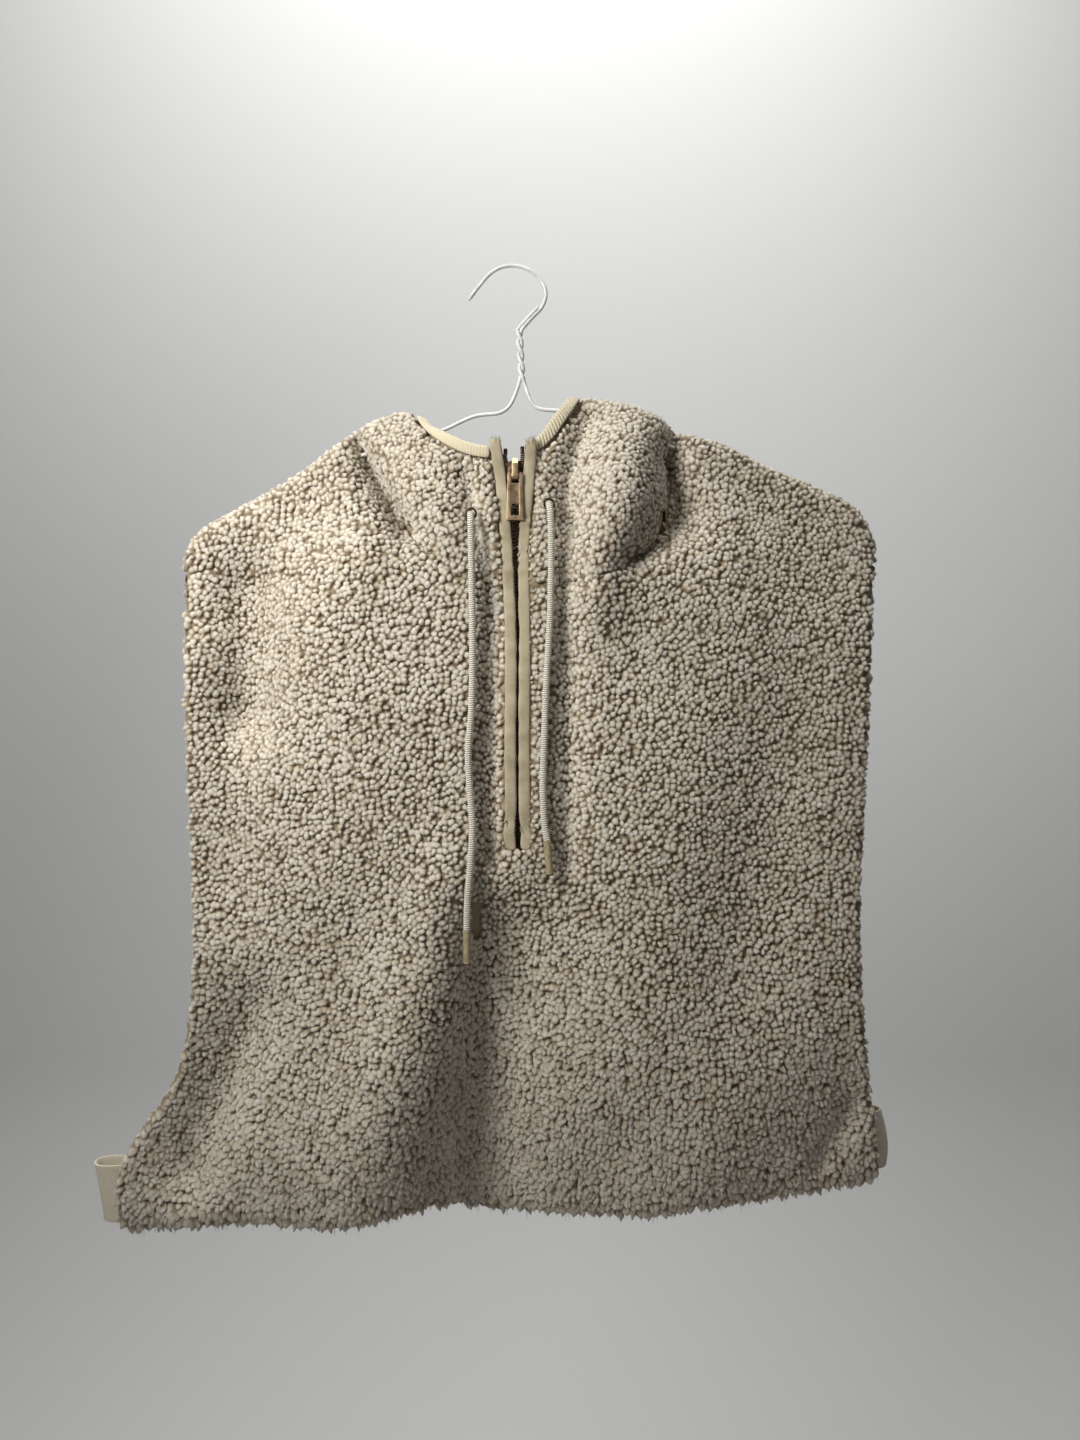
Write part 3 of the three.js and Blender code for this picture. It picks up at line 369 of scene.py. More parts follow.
# Folds as they hang: route (x, z), depth at its top and its foot (out is +), reach to the left
# and to the right, all mm.
FRONT_FOLDS = [
    ([(86, -112), (77, -158), (64, -199), (52, -228)], (4, 3), 15, 13),
    ([(106, -112), (105, -150), (112, -166), (101, -190), (77, -200)], (-13, -5), 5, 9),
    ([(-106, -122), (-92, -150), (-72, -184)], (-15, -13), 6, 8),
    ([(-124, -132), (-104, -165), (-90, -200)], (5, 3), 14, 9),
    ([(50, -108), (38, -150), (36, -190)], (-10, -9), 10, 10),
    ([(36, -205), (36, -300), (35, -398)], (-8, -6), 8, 9),
    ([(-30, -150), (-14, -226), (-14, -396)], (-7, -7), 8, 5),
    ([(-18, -400), (-24, -440), (-28, -480)], (-5, -4), 12, 14),
    ([(-12, -450), (-16, -520), (-19, -580), (-20, -640)], (-12, -38), 22, 60),
    ([(-24, -420), (-44, -500), (-66, -570), (-84, -640)], (7, 12), 42, 20),
    ([(-177, -228), (-172, -258), (-177, -302)], (-15, -21), 21, 24),
    ([(-112, -215), (-105, -300), (-112, -400)], (5, 5), 34, 38),
    ([(-170, -495), (-187, -545), (-212, -600)], (-9, -12), 20, 20),
    ([(222, -562), (202, -593)], (-5, -6), 9, 12),
    ([(120, -330), (96, -430), (70, -520)], (4, 4), 50, 40),
    ([(190, -230), (176, -340), (150, -470)], (-3, -4), 30, 34),
    ([(130, -560), (118, -640)], (3, 5), 34, 30),
    ([(60, -590), (56, -645)], (-4, -4), 20, 22),
    ([(-190, -674), (-60, -664), (120, -654), (184, -652)], (-3, -14), 44, 44),
]
BACK_FOLDS = [
    ([(4, -95), (2, -190), (14, -330)], (-5, -5), 30, 26),
    ([(-96, -120), (-60, -210), (-48, -320)], (5, 4), 26, 22),
    ([(98, -118), (70, -200), (62, -300)], (5, 4), 22, 28),
    ([(-150, -170), (-104, -300), (-96, -420)], (-5, -6), 24, 30),
    ([(152, -180), (128, -300), (92, -450)], (-5, -6), 28, 22),
    ([(20, -400), (44, -520), (52, -640)], (-7, -10), 34, 24),
    ([(96, -450), (118, -560), (126, -640)], (4, 6), 26, 34),
    ([(-60, -440), (-74, -540), (-70, -640)], (4, 6), 34, 30),
    ([(-150, -480), (-162, -570), (-180, -640)], (-5, -7), 24, 22),
    ([(200, -250), (196, -380)], (-5, -5), 20, 14),
    ([(-196, -230), (-190, -360)], (-5, -5), 14, 20),
]


def fold_at(x, z, folds):
    """How far the folds move the cloth out at (x, z), in metres."""
    x, z, total = x * 1000, z * 1000, 0.0
    for route, (top, foot), left, right in folds:
        best, side, along = 1e9, 0.0, 0.0
        for k, ((ax, az), (bx, bz)) in enumerate(zip(route, route[1:])):
            dx, dz = bx - ax, bz - az
            share = min(max(((x - ax) * dx + (z - az) * dz) / (dx * dx + dz * dz), 0), 1)
            off_x, off_z = x - ax - dx * share, z - az - dz * share
            gap = off_x * off_x + off_z * off_z
            if gap < best:
                best, side = gap, off_x / (gap ** 0.5 + 1e-9)
                along = (k + share) / (len(route) - 1)
        reach = left + (right - left) * (0.5 + 0.5 * side)
        total += (top + (foot - top) * along) * math.exp(-best / (reach * reach))
    return total / 1000


def panel_edge(p):
    """How far round an edge the pile of front and back grows: least at the zip, most at the hem."""
    if p.z < -0.600 or p.x < -0.200 or p.x > 0.215 or (p.z > -0.26 and abs(p.x) > 0.12):
        return -0.45
    if abs(p.x) < 0.0072 and p.z > -0.392 and p.y < 0:
        return 2.0
    return 0.35 if abs(p.x) < 0.03 and p.z > -0.42 else -0.1


def collar_edge(p):
    if abs(p.x) < 0.0085 and p.y < 0:
        return 2.0
    return 0.35 if abs(p.x) < 0.03 and p.y < 0 else -0.3


def backing_of(node, outwards, free_edge):
    """The panel's form with its outer skin sunk under the pile. pile says where pile grows."""
    obj = merged_copy(node, f"{node}_backing")
    mesh = obj.data
    work = bmesh.new()
    work.from_mesh(mesh)
    bmesh.ops.join_triangles(
        work, faces=work.faces, angle_face_threshold=0.7, angle_shape_threshold=1.2,
    )
    work.normal_update()
    grows = work.verts.layers.float.new("pile")
    crease = work.edges.layers.float.new("crease_edge")
    hairy, outer = set(), set()
    for face in work.faces:
        middle = face.calc_center_median()
        facing = face.normal.dot(outwards(middle))
        if facing > 0.35:
            outer.add(face)
        if facing > free_edge(middle):
            hairy.add(face)
    for edge in work.edges:
        if len(edge.link_faces) == 2 and edge.calc_face_angle(0) > 0.9:
            edge[crease] = 0.8
    moves = []
    for v in work.verts:
        v[grows] = any(face in hairy for face in v.link_faces)
        skin = [face for face in v.link_faces if face in outer]
        if skin:
            way = sum((face.normal * face.calc_area() ** 0.5 for face in skin), Vector())
            moves.append((v, way.normalized() * PILE_SINK))
    for v, move in moves:
        v.co -= move
    work.to_mesh(mesh)
    work.free()
    mesh.materials.append(backing)
    finished = softened(obj, 2)
    for v in finished.vertices:
        # The slit's edges lie under the facings, and the left corner's pile reaches round its band.
        if abs(v.co.x - ZIP_X) < 0.017 and v.co.y < -0.012 and v.co.z > -0.41:
            v.co.x = ZIP_X + (v.co.x - ZIP_X) * 0.84
        corner = ((v.co.x + 0.240) / 0.022) ** 2 + ((v.co.z + 0.612) / 0.026) ** 2
        v.co.x -= 0.006 * math.exp(-corner)
        # A strip beside the left cord's end grows no pile, so the darker backing shows there.
        bare_strip = -0.0285 < v.co.x < -0.0205 and -0.449 < v.co.z < -0.424
        faced = abs(v.co.x - ZIP_X) < 0.0062 and v.co.z > -0.393
        if v.co.y < 0 and (bare_strip or faced):
            finished.attributes["pile"].data[v.index].value = 0
        # A trough also swings away from the middle of the cloth, and a ridge towards it.
        if node == "back_panel" or v.co.y > 0.002:
            out = fold_at(v.co.x, v.co.z, BACK_FOLDS)
            v.co += Vector((0, out, -out * (v.co.z - HANG_Z) * BACK_SWING))
        else:
            out = fold_at(v.co.x, v.co.z, FRONT_FOLDS)
            v.co += Vector((0, -out, -out * (v.co.z - HANG_Z) * FRONT_SWING))
    return obj


front = backing_of("front_panel", front_way, panel_edge)
back = backing_of("back_panel", back_way, panel_edge)
collar = backing_of("collar", collar_way, collar_edge)


# ---------------------------------------------------------------- teddy pile
# The pile is teased and curled by the mill into locks about 3 mm apart that stand 3 mm high,
# pale at the tip and brown at the root, a painted shade. They get longer and looser at the hem.
LOCK_SPACING = {"front": 0.0032, "collar": 0.0029, "back": 0.0034}
LOCK_WIDTH = 0.0029
LOCK_HEIGHT = 0.0030
LOCK_SHAPES = 6
LOCK_SIDES = 6

locks = bpy.data.collections.new("locks")
shape_dice = random.Random(7)
for variant in range(LOCK_SHAPES):
    lean = Vector((shape_dice.uniform(-0.35, 0.35), shape_dice.uniform(-0.35, 0.35), 0))
    slim = 1.0 if variant < 4 else 0.72
    rings = [(-0.15, 1.0), (0.66, 0.82 * slim)]
    points, faces = [], []
    for height, radius in rings:
        for k in range(LOCK_SIDES):
            angle = 2 * math.pi * (k + shape_dice.uniform(-0.2, 0.2)) / LOCK_SIDES
            r = radius * shape_dice.uniform(0.84, 1.16)
            bend = lean * max(height, 0) ** 1.5
            points.append(Vector((r * math.cos(angle), r * math.sin(angle), height)) + bend)
    points.append(Vector((0, 0, 1.05 / slim ** 0.5)) + lean)
    n = LOCK_SIDES
    faces += [(k, (k + 1) % n, n + (k + 1) % n, n + k) for k in range(n)]
    faces += [(n + k, n + (k + 1) % n, 2 * n) for k in range(n)]
    # Two stray fibres stand out of each lock.
    for _ in range(2):
        angle = shape_dice.uniform(0, 2 * math.pi)
        foot = Vector((0.6 * math.cos(angle), 0.6 * math.sin(angle), 0.7))
        side = Vector((-math.sin(angle), math.cos(angle), 0)) * 0.06
        tip = foot * shape_dice.uniform(1.1, 1.6) + Vector((0, 0, shape_dice.uniform(0.1, 0.55)))
        first = len(points)
        points += [foot - side, foot + side, tip]
        faces.append((first, first + 1, first + 2))
    mesh = bpy.data.meshes.new(f"lock_{variant}")
    mesh.from_pydata([tuple(p) for p in points], [], faces)
    height = mesh.attributes.new("height", "FLOAT", "POINT")
    height.data.foreach_set("value", [p.z for p in points])
    locks.objects.link(bpy.data.objects.new(f"lock_{variant}", mesh))

pile_hair, nodes, surface = shader("teddy pile", (208, 195, 172), 0.95, sheen=0.3, specular=0.12)
height = wire(nodes, "ShaderNodeAttribute", attribute_name="height").outputs["Fac"]
tone = wire(nodes, "ShaderNodeAttribute", attribute_name="tone").outputs["Fac"]
curls = grain(nodes, 900.0, 3.0, Distortion=1.2)
strands = grain(nodes, 3200.0, 1.0)
patches = grain(nodes, 35.0, 2.0)
depth = sum_of(nodes, "MULTIPLY_ADD", curls, 0.5, -0.35)
depth = sum_of(nodes, "MULTIPLY_ADD", tone, 0.25, depth)
depth = sum_of(nodes, "ADD", depth, height)
depth = sum_of(nodes, "MULTIPLY_ADD", patches, 0.3, sum_of(nodes, "ADD", depth, -0.15))
# The ramp darkens each lock towards its root: painted shade in the crevices between locks.
tint(
    nodes, surface, depth,
    (0.40, 156, 138, 112), (0.60, 186, 170, 144), (0.82, 212, 201, 180), (1.0, 230, 221, 204),
)
bump(nodes, surface, sum_of(nodes, "MULTIPLY_ADD", strands, 0.5, curls), 0.0009, 0.85)
# Fibres scatter light, so half of a lock's shading follows the cloth that it stands on.
cloth_way = wire(nodes, "ShaderNodeAttribute", attribute_name="cloth").outputs["Vector"]
own_way = wire(nodes, "ShaderNodeNewGeometry").outputs["Normal"]
both = wire(nodes, "ShaderNodeVectorMath", {0: cloth_way, 1: own_way}, operation="ADD")
both = wire(nodes, "ShaderNodeVectorMath", {0: both.outputs[0]}, operation="NORMALIZE")
nodes.links.new(both.outputs[0], surface.inputs["Normal"].links[0].from_node.inputs["Normal"])


def node_group(name, **kinds):
    """An empty geometry node group: its tree, its inputs' keys, and their outputs inside it."""
    made = bpy.data.node_groups.new(name, "GeometryNodeTree")
    for way in ("OUTPUT", "INPUT"):
        made.interface.new_socket("Geometry", in_out=way, socket_type="NodeSocketGeometry")
    keys = {
        key: made.interface.new_socket(
            key, in_out="INPUT", socket_type=f"NodeSocket{kind}",
        ).identifier
        for key, kind in kinds.items()
    }
    return made, keys, made.nodes.new("NodeGroupInput").outputs


def grown(host, group, keys, **values):
    """Links a piece, runs a node group on it and keeps what it makes as a plain mesh."""
    bpy.context.collection.objects.link(host)
    grow = host.modifiers.new("grow", "NODES")
    grow.node_group = group
    for key, value in values.items():
        grow[keys[key]] = value
    settle(host)
    return host


tree, PILE_KEYS, given = node_group(
    "teddy pile", Spacing="Float", Width="Float", Height="Float", Seed="Int", Locks="Collection",
    Neighbours="Object", FromX="Float", ToX="Float", Pile="Material",
)
# The bare inner skin goes first, or its points would crowd out those of the outer skin close by.
grows = wire(
    tree, "GeometryNodeInputNamedAttribute", {"Name": "pile"}, data_type="FLOAT",
).outputs[0]
skin = wire(tree, "GeometryNodeDeleteGeometry", {
    "Geometry": given["Geometry"], "Selection": sum_of(tree, "LESS_THAN", grows, 0.01),
}, domain="FACE")
spread = wire(tree, "GeometryNodeDistributePointsOnFaces", {
    "Mesh": skin.outputs[0], "Distance Min": given["Spacing"], "Density Max": 1800000.0,
    "Density Factor": grows, "Seed": given["Seed"],
}, distribute_method="POISSON")
at = wire(tree, "GeometryNodeInputPosition").outputs[0]
x, _, z = wire(tree, "ShaderNodeSeparateXYZ", {0: at}).outputs
outside = sum_of(
    tree, "MAXIMUM", sum_of(tree, "LESS_THAN", x, given["FromX"]),
    sum_of(tree, "GREATER_THAN", x, given["ToX"]),
)
kept = wire(tree, "GeometryNodeDeleteGeometry", {
    "Geometry": spread.outputs["Points"], "Selection": outside,
}, domain="POINT")
# Locks shrink where a cord, tape or ring lies on the cloth, so that nothing runs through it.
neighbours = wire(tree, "GeometryNodeObjectInfo", {"Object": given["Neighbours"]})
near = wire(
    tree, "GeometryNodeProximity", {0: neighbours.outputs["Geometry"]}, target_element="FACES",
)
room = wire(tree, "ShaderNodeMapRange", {
    0: near.outputs["Distance"], 1: 0.0002, 2: 0.0022, 3: 0.25, 4: 1.0,
}, clamp=True).outputs[0]
hem = wire(tree, "ShaderNodeMapRange", {
    0: z, 1: -0.42, 2: -0.63, 3: 0.0, 4: 1.0,
}, clamp=True).outputs[0]
dice = {
    name: wire(
        tree, "FunctionNodeRandomValue", {2: low, 3: high, "Seed": seed}, data_type="FLOAT",
    ).outputs[1]
    for name, low, high, seed in [
        ("wide", 0.82, 1.08, 11), ("long", 0.9, 1.25, 12), ("tall", 0.86, 1.12, 13),
        ("tone", 0.0, 1.0, 16),
    ]
}
looser = sum_of(tree, "MULTIPLY_ADD", hem, 0.28, 1.0)
width = sum_of(tree, "MULTIPLY", sum_of(tree, "MULTIPLY", given["Width"], looser), room)
size = wire(tree, "ShaderNodeCombineXYZ", {
    0: sum_of(tree, "MULTIPLY", width, dice["wide"]),
    1: sum_of(tree, "MULTIPLY", width, dice["long"]),
    2: sum_of(tree, "MULTIPLY", sum_of(tree, "MULTIPLY", given["Height"], dice["tall"]),
              sum_of(tree, "MULTIPLY", room, sum_of(tree, "MULTIPLY_ADD", hem, 0.5, 1.0))),
}).outputs[0]
tilt = wire(tree, "FunctionNodeRandomValue", {
    0: (-0.25, -0.25, -math.pi), 1: (0.25, 0.25, math.pi), "Seed": 14,
}, data_type="FLOAT_VECTOR").outputs[0]
turned = wire(tree, "FunctionNodeRotateRotation", {
    0: spread.outputs["Rotation"],
    1: wire(tree, "FunctionNodeEulerToRotation", {0: tilt}).outputs[0],
}, rotation_space="LOCAL")
choice = wire(tree, "FunctionNodeRandomValue", {
    4: 0, 5: LOCK_SHAPES - 1, "Seed": 15,
}, data_type="INT").outputs[2]
shapes = wire(tree, "GeometryNodeCollectionInfo", {
    "Collection": given["Locks"], "Separate Children": True, "Reset Children": True,
})
placed = wire(tree, "GeometryNodeInstanceOnPoints", {
    "Points": kept.outputs[0], "Instance": shapes.outputs[0], "Pick Instance": True,
    "Instance Index": choice, "Rotation": turned.outputs[0], "Scale": size,
})
toned = wire(tree, "GeometryNodeStoreNamedAttribute", {
    "Geometry": placed.outputs[0], "Name": "tone", "Value": dice["tone"],
}, data_type="FLOAT", domain="INSTANCE")
leaning = wire(tree, "GeometryNodeStoreNamedAttribute", {
    "Geometry": toned.outputs[0], "Name": "cloth", "Value": spread.outputs["Normal"],
}, data_type="FLOAT_VECTOR", domain="INSTANCE")
real = wire(tree, "GeometryNodeRealizeInstances", {0: leaning.outputs[0]})
lumps = wire(tree, "ShaderNodeTexNoise", {"Vector": at, "Scale": 420.0, "Detail": 1.0})
push = wire(tree, "ShaderNodeVectorMath", {
    0: lumps.outputs["Color"], 1: (0.5, 0.5, 0.5),
}, operation="SUBTRACT")
push = wire(tree, "ShaderNodeVectorMath", {0: push.outputs[0], "Scale": 0.0018}, operation="SCALE")
# At the hem the longer locks hang down a little at their tips.
rise = wire(
    tree, "GeometryNodeInputNamedAttribute", {"Name": "height"}, data_type="FLOAT",
).outputs[0]
droop = sum_of(tree, "MULTIPLY", hem, -0.0032)
droop = sum_of(tree, "MULTIPLY", droop, sum_of(tree, "MAXIMUM", rise, 0.0))
droop = wire(tree, "ShaderNodeCombineXYZ", {2: droop}).outputs[0]
push = wire(tree, "ShaderNodeVectorMath", {0: push.outputs[0], 1: droop}, operation="ADD")
ragged = wire(tree, "GeometryNodeSetPosition", {0: real.outputs[0], "Offset": push.outputs[0]})
soft = wire(tree, "GeometryNodeSetShadeSmooth", {0: ragged.outputs[0]})
done = wire(tree, "GeometryNodeSetMaterial", {0: soft.outputs[0], "Material": given["Pile"]})
wire(tree, "NodeGroupOutput", {0: done.outputs[0]})

lying_on = [
    "drawcord_left", "drawcord_right", "aglet_left", "aglet_right", "eyelet_left", "eyelet_right",
    "zip_facing_left", "zip_facing_right", "collar_binding", "side_band_left", "side_band_right",
]
work = bmesh.new()
for node in lying_on:
    work.from_mesh(cad[node].data)
mesh = bpy.data.meshes.new("neighbours")
work.to_mesh(mesh)
work.free()
neighbours_object = bpy.data.objects.new("neighbours", mesh)
bpy.context.collection.objects.link(neighbours_object)


def pile_on(name, backing_object, spacing, seed, from_x=-1.0, to_x=1.0):
    """The locks of one piece of cloth, or of a stretch of it, as one plain mesh."""
    host = bpy.data.objects.new(name, backing_object.data.copy())
    grown(
        host, tree, PILE_KEYS, Spacing=spacing, Width=LOCK_WIDTH, Height=LOCK_HEIGHT, Seed=seed,
        Locks=locks, Neighbours=neighbours_object, FromX=from_x, ToX=to_x, Pile=pile_hair,
    )
    return place(host, "vest", "fleece")


front_pile = [
    pile_on("front_pile_left", front, LOCK_SPACING["front"], 1, to_x=0.0015),
    pile_on("front_pile_right", front, LOCK_SPACING["front"], 1, from_x=0.0015),
]
back_pile = [
    pile_on("back_pile_left", back, LOCK_SPACING["back"], 2, to_x=0.0),
    pile_on("back_pile_right", back, LOCK_SPACING["back"], 2, from_x=0.0),
]
collar_pile = [pile_on("collar_pile", collar, LOCK_SPACING["collar"], 3)]
bpy.data.objects.remove(neighbours_object)
for shape in list(locks.objects):
    bpy.data.objects.remove(shape)
bpy.data.collections.remove(locks)

for obj, node, flat, area, pile in [
    (front, "front_panel", (0.53, 0.56), 0.23, front_pile),
    (back, "back_panel", (0.53, 0.53), 0.23, back_pile),
    (collar, "collar", (0.49, 0.10), 0.031, collar_pile),
]:
    place(obj, "vest", "fleece", node)


# ---------------------------------------------------------------- collar binding
# A ribbed cream tape folded over the collar's top edge and stitched through near its foot.
def with_run(obj, centre, reach):
    """Gives a ring of tape an attribute that grows along it, in metres."""
    values = []
    for v in obj.data.vertices:
        angle = math.atan2((v.co.y - centre[1]) / reach[1], (v.co.x - centre[0]) / reach[0])
        values.append(angle * (reach[0] + reach[1]) / 2)
    run = obj.data.attributes.new("run", "FLOAT", "POINT")
    run.data.foreach_set("value", values)


BINDING_RIB = 0.0016
binding_tape, nodes, surface = shader(
    "binding tape", (206, 194, 164), 0.85, sheen=0.25, specular=0.25,
)
spot = wire(nodes, "ShaderNodeTexCoord").outputs["Object"]
run = wire(nodes, "ShaderNodeAttribute", attribute_name="run").outputs["Fac"]
wobble = grain(nodes, 90.0, 2.0)
ribs = sum_of(nodes, "MULTIPLY", wobble, 3.0)
ribs = sum_of(nodes, "SINE", sum_of(nodes, "MULTIPLY_ADD", run, 2 * math.pi / BINDING_RIB, ribs))
sideways = wire(nodes, "ShaderNodeSeparateXYZ", {0: spot}).outputs[0]
ribbed = wire(nodes, "ShaderNodeMapRange", {
    0: sideways, 1: -0.02, 2: 0.02, 3: 0.25, 4: 1.0,
}, clamp=True).outputs[0]
thread = grain(nodes, 1800.0, 2.0)
relief = sum_of(nodes, "MULTIPLY", ribs, ribbed)
shade = sum_of(nodes, "MULTIPLY_ADD", thread, 0.5, 0.25)
tint(
    nodes, surface, sum_of(nodes, "MULTIPLY_ADD", relief, 0.25, shade),
    (0.2, 170, 157, 126), (0.5, 204, 192, 162), (0.85, 218, 208, 182),
)
bump(nodes, surface, sum_of(nodes, "MULTIPLY_ADD", thread, 0.5, relief), 0.0005, 0.6)
binding = merged_copy("collar_binding", "collar_binding_tape")
softened(binding, 1)
for v in binding.data.vertices:
    if abs(v.co.x) < 0.03 and v.co.y < -0.01:
        v.co.x *= 0.88 + 0.12 * abs(v.co.x) / 0.03
with_run(binding, (-0.010, 0), (0.049, 0.031))
binding.data.materials.append(binding_tape)
place(binding, "vest", "binding_tape", "collar_binding")


# ---------------------------------------------------------------- zip facings and tapes
# Soft folded cream tapes edge the slit on either side and half hide the zip; behind them the
# zip's own tapes are dark brown. Both are stitched down through the front panel.
facing_cloth, nodes, surface = shader("facing cloth", (182, 169, 142), 0.9, sheen=0.3, specular=0.2)
weave = grain(nodes, 1500.0, 3.0)
soil = grain(nodes, 70.0, 4.0)
shade = sum_of(nodes, "MULTIPLY", soil, 0.65)
tint(
    nodes, surface, sum_of(nodes, "MULTIPLY_ADD", weave, 0.35, shade),
    (0.3, 146, 133, 105), (0.5, 176, 163, 135), (0.7, 194, 181, 154),
)
bump(nodes, surface, weave, 0.00035, 0.6)

zip_cloth, nodes, surface = shader("zip tape", (42, 30, 20), 0.9, sheen=0.1, specular=0.2)
spot = wire(nodes, "ShaderNodeTexCoord").outputs["Object"]
twill = wire(nodes, "ShaderNodeTexWave", {
    "Vector": spot, "Scale": 420.0, "Distortion": 1.0,
}, bands_direction="DIAGONAL").outputs[0]
tint(nodes, surface, twill, (0.2, 30, 20, 12), (0.9, 60, 44, 30))
bump(nodes, surface, twill, 0.0003, 0.6)

FRAY_THREADS = 26
FRAY_RADIUS = 0.0003
# Wrinkles across the strips: height, how far the cloth sinks, and half its breadth, in metres.
WRINKLES = {
    "left": [(-0.168, 0.0005, 0.004), (-0.205, 0.0005, 0.003), (-0.372, 0.0006, 0.005)],
    "right": [(-0.178, 0.0012, 0.002), (-0.185, 0.0007, 0.0016), (-0.2005, 0.0008, 0.0022),
              (-0.207, 0.0008, 0.002), (-0.252, 0.0005, 0.004), (-0.378, 0.0006, 0.004)],
}
for side in ("left", "right"):
    facing = merged_copy(f"zip_facing_{side}", f"zip_facing_{side}_tape")
    softened(facing, 2)
    for v in facing.data.vertices:
        ripple = noise.noise(Vector((v.co.x * 60, 0, v.co.z * 140))) * 0.0005
        for height, rise, reach in WRINKLES[side]:
            away = (v.co.z - height - v.co.x * 0.25) / reach
            ripple -= rise * math.exp(-away * away)
        v.co += v.normal * ripple
        # Just above the slit's foot the two strips bow apart.
        bow = (v.co.z + 0.381) / 0.009
        v.co.x += (-0.0011 if side == "left" else 0.0011) * math.exp(-bow * bow)
    # The strip's raw top end is frayed.
    work = bmesh.new()
    work.from_mesh(facing.data)
    top = sorted(work.verts, key=lambda v: v.co.z)[-160:]
    fray = random.Random(side)
    for _ in range(FRAY_THREADS):
        root = fray.choice(top).co.copy()
        way = Vector((fray.uniform(-0.6, 0.6), fray.uniform(-0.5, 0.1), 1))
        reach = way * fray.uniform(0.0014, 0.004)
        ring = [
            work.verts.new(
                root + Vector((FRAY_RADIUS * math.cos(a), FRAY_RADIUS * math.sin(a), -0.0006))
            )
            for a in (0, 2.1, 4.2)
        ]
        tip = work.verts.new(root + reach)
        for k in range(3):
            work.faces.new((ring[k], ring[(k + 1) % 3], tip))
        work.faces.new(tuple(reversed(ring)))
    work.to_mesh(facing.data)
    work.free()
    facing.data.materials.append(facing_cloth)
    place(facing, "vest", "zip_facing", f"zip_facing_{side}")
    band = merged_copy(f"zip_tape_{side}", f"zip_tape_{side}_weave")
    band.data.materials.append(zip_cloth)
    place(band, "vest", "zip_tape", f"zip_tape_{side}")


# ---------------------------------------------------------------- zip teeth and stops
# Two rows of small dark bronzed teeth, clamped one by one on the tapes' edges. They mesh below
# the slider, part above it, and end at a crimped stop on each side.
TOOTH = {"pitch": 0.00125, "width": 0.0030, "height": 0.0007, "depth": 0.0021, "offset": 0.0010}

dark_metal, nodes, surface = shader("dark bronze", (74, 56, 38), 0.42, metallic=0.85)
rubbed = grain(nodes, 500.0, 4.0)
tint(nodes, surface, rubbed, (0.35, 48, 35, 24), (0.55, 84, 64, 44), (0.75, 132, 106, 72))
nodes.links.new(sum_of(nodes, "MULTIPLY_ADD", rubbed, -0.2, 0.55), surface.inputs["Roughness"])
bump(nodes, surface, rubbed, 0.00015, 0.4)


def bevelled(obj, width, segments=2, angle=0.6):
    """Rounds the sharp edges of a hard piece by width, in metres."""
    modifier = obj.modifiers.new("rounding", "BEVEL")
    modifier.width = width
    modifier.segments = segments
    modifier.limit_method = "ANGLE"
    modifier.angle_limit = angle
    made = settle(obj)
    made.polygons.foreach_set("use_smooth", [True] * len(made.polygons))
    made.set_sharp_from_angle(angle=0.7)
    return obj


def hard_copy(node, name, material, width):
    """A CAD node's form with its flat faces joined and its edges rounded."""
    obj = merged_copy(node, name)
    work = bmesh.new()
    work.from_mesh(obj.data)
    bmesh.ops.dissolve_limit(work, angle_limit=0.03, verts=work.verts, edges=work.edges)
    work.to_mesh(obj.data)
    work.free()
    obj.data.materials.append(material)
    return bevelled(obj, width)


def block(width, depth, height):
    corners = [
        (x * width / 2, y * depth / 2, z * height / 2)
        for z in (-1, 1) for x, y in ((-1, -1), (1, -1), (1, 1), (-1, 1))
    ]
    sides = [(3, 2, 1, 0), (4, 5, 6, 7), (0, 1, 5, 4), (1, 2, 6, 5), (2, 3, 7, 6), (3, 0, 4, 7)]
    return corners, sides


chain_rings = {}
for v in cad["zip_chain"].data.vertices:
    chain_rings.setdefault(round(v.co.z, 4), []).append(v.co)
chain_path = smooth_route(
    [sum(ring, Vector()) / len(ring) for _, ring in sorted(chain_rings.items(), reverse=True)],
    TOOTH["pitch"],
)
corners, sides = block(TOOTH["width"], TOOTH["depth"], TOOTH["height"])
tooth = bevelled(piece("tooth", corners, sides, dark_metal), 0.00018, 1)

tooth_tree, TOOTH_KEYS, given = node_group(
    "zip teeth", Tooth="Object", Offset="Float", Metal="Material",
)
on_line = wire(tooth_tree, "GeometryNodeMeshToPoints", {"Mesh": given["Geometry"]})
parity = sum_of(tooth_tree, "MODULO", wire(tooth_tree, "GeometryNodeInputIndex").outputs[0], 2.0)
way = sum_of(tooth_tree, "MULTIPLY_ADD", parity, 2.0, -1.0)
aside = sum_of(tooth_tree, "MULTIPLY", way, given["Offset"])
shifted = wire(tooth_tree, "GeometryNodeSetPosition", {
    "Geometry": on_line.outputs[0],
    "Offset": wire(tooth_tree, "ShaderNodeCombineXYZ", {0: aside}).outputs[0],
})
shape = wire(tooth_tree, "GeometryNodeObjectInfo", {"Object": given["Tooth"]})
placed = wire(tooth_tree, "GeometryNodeInstanceOnPoints", {
    "Points": shifted.outputs[0], "Instance": shape.outputs["Geometry"],
})
real = wire(tooth_tree, "GeometryNodeRealizeInstances", {0: placed.outputs[0]})
done = wire(tooth_tree, "GeometryNodeSetMaterial", {0: real.outputs[0], "Material": given["Metal"]})
wire(tooth_tree, "NodeGroupOutput", {0: done.outputs[0]})


def teeth_on(name, line, offset):
    mesh = bpy.data.meshes.new(name)
    mesh.from_pydata([tuple(p) for p in line], [], [])
    host = bpy.data.objects.new(name, mesh)
    grown(host, tooth_tree, TOOTH_KEYS, Tooth=tooth, Offset=offset, Metal=dark_metal)
    return place(host, "vest", "dark_metal")


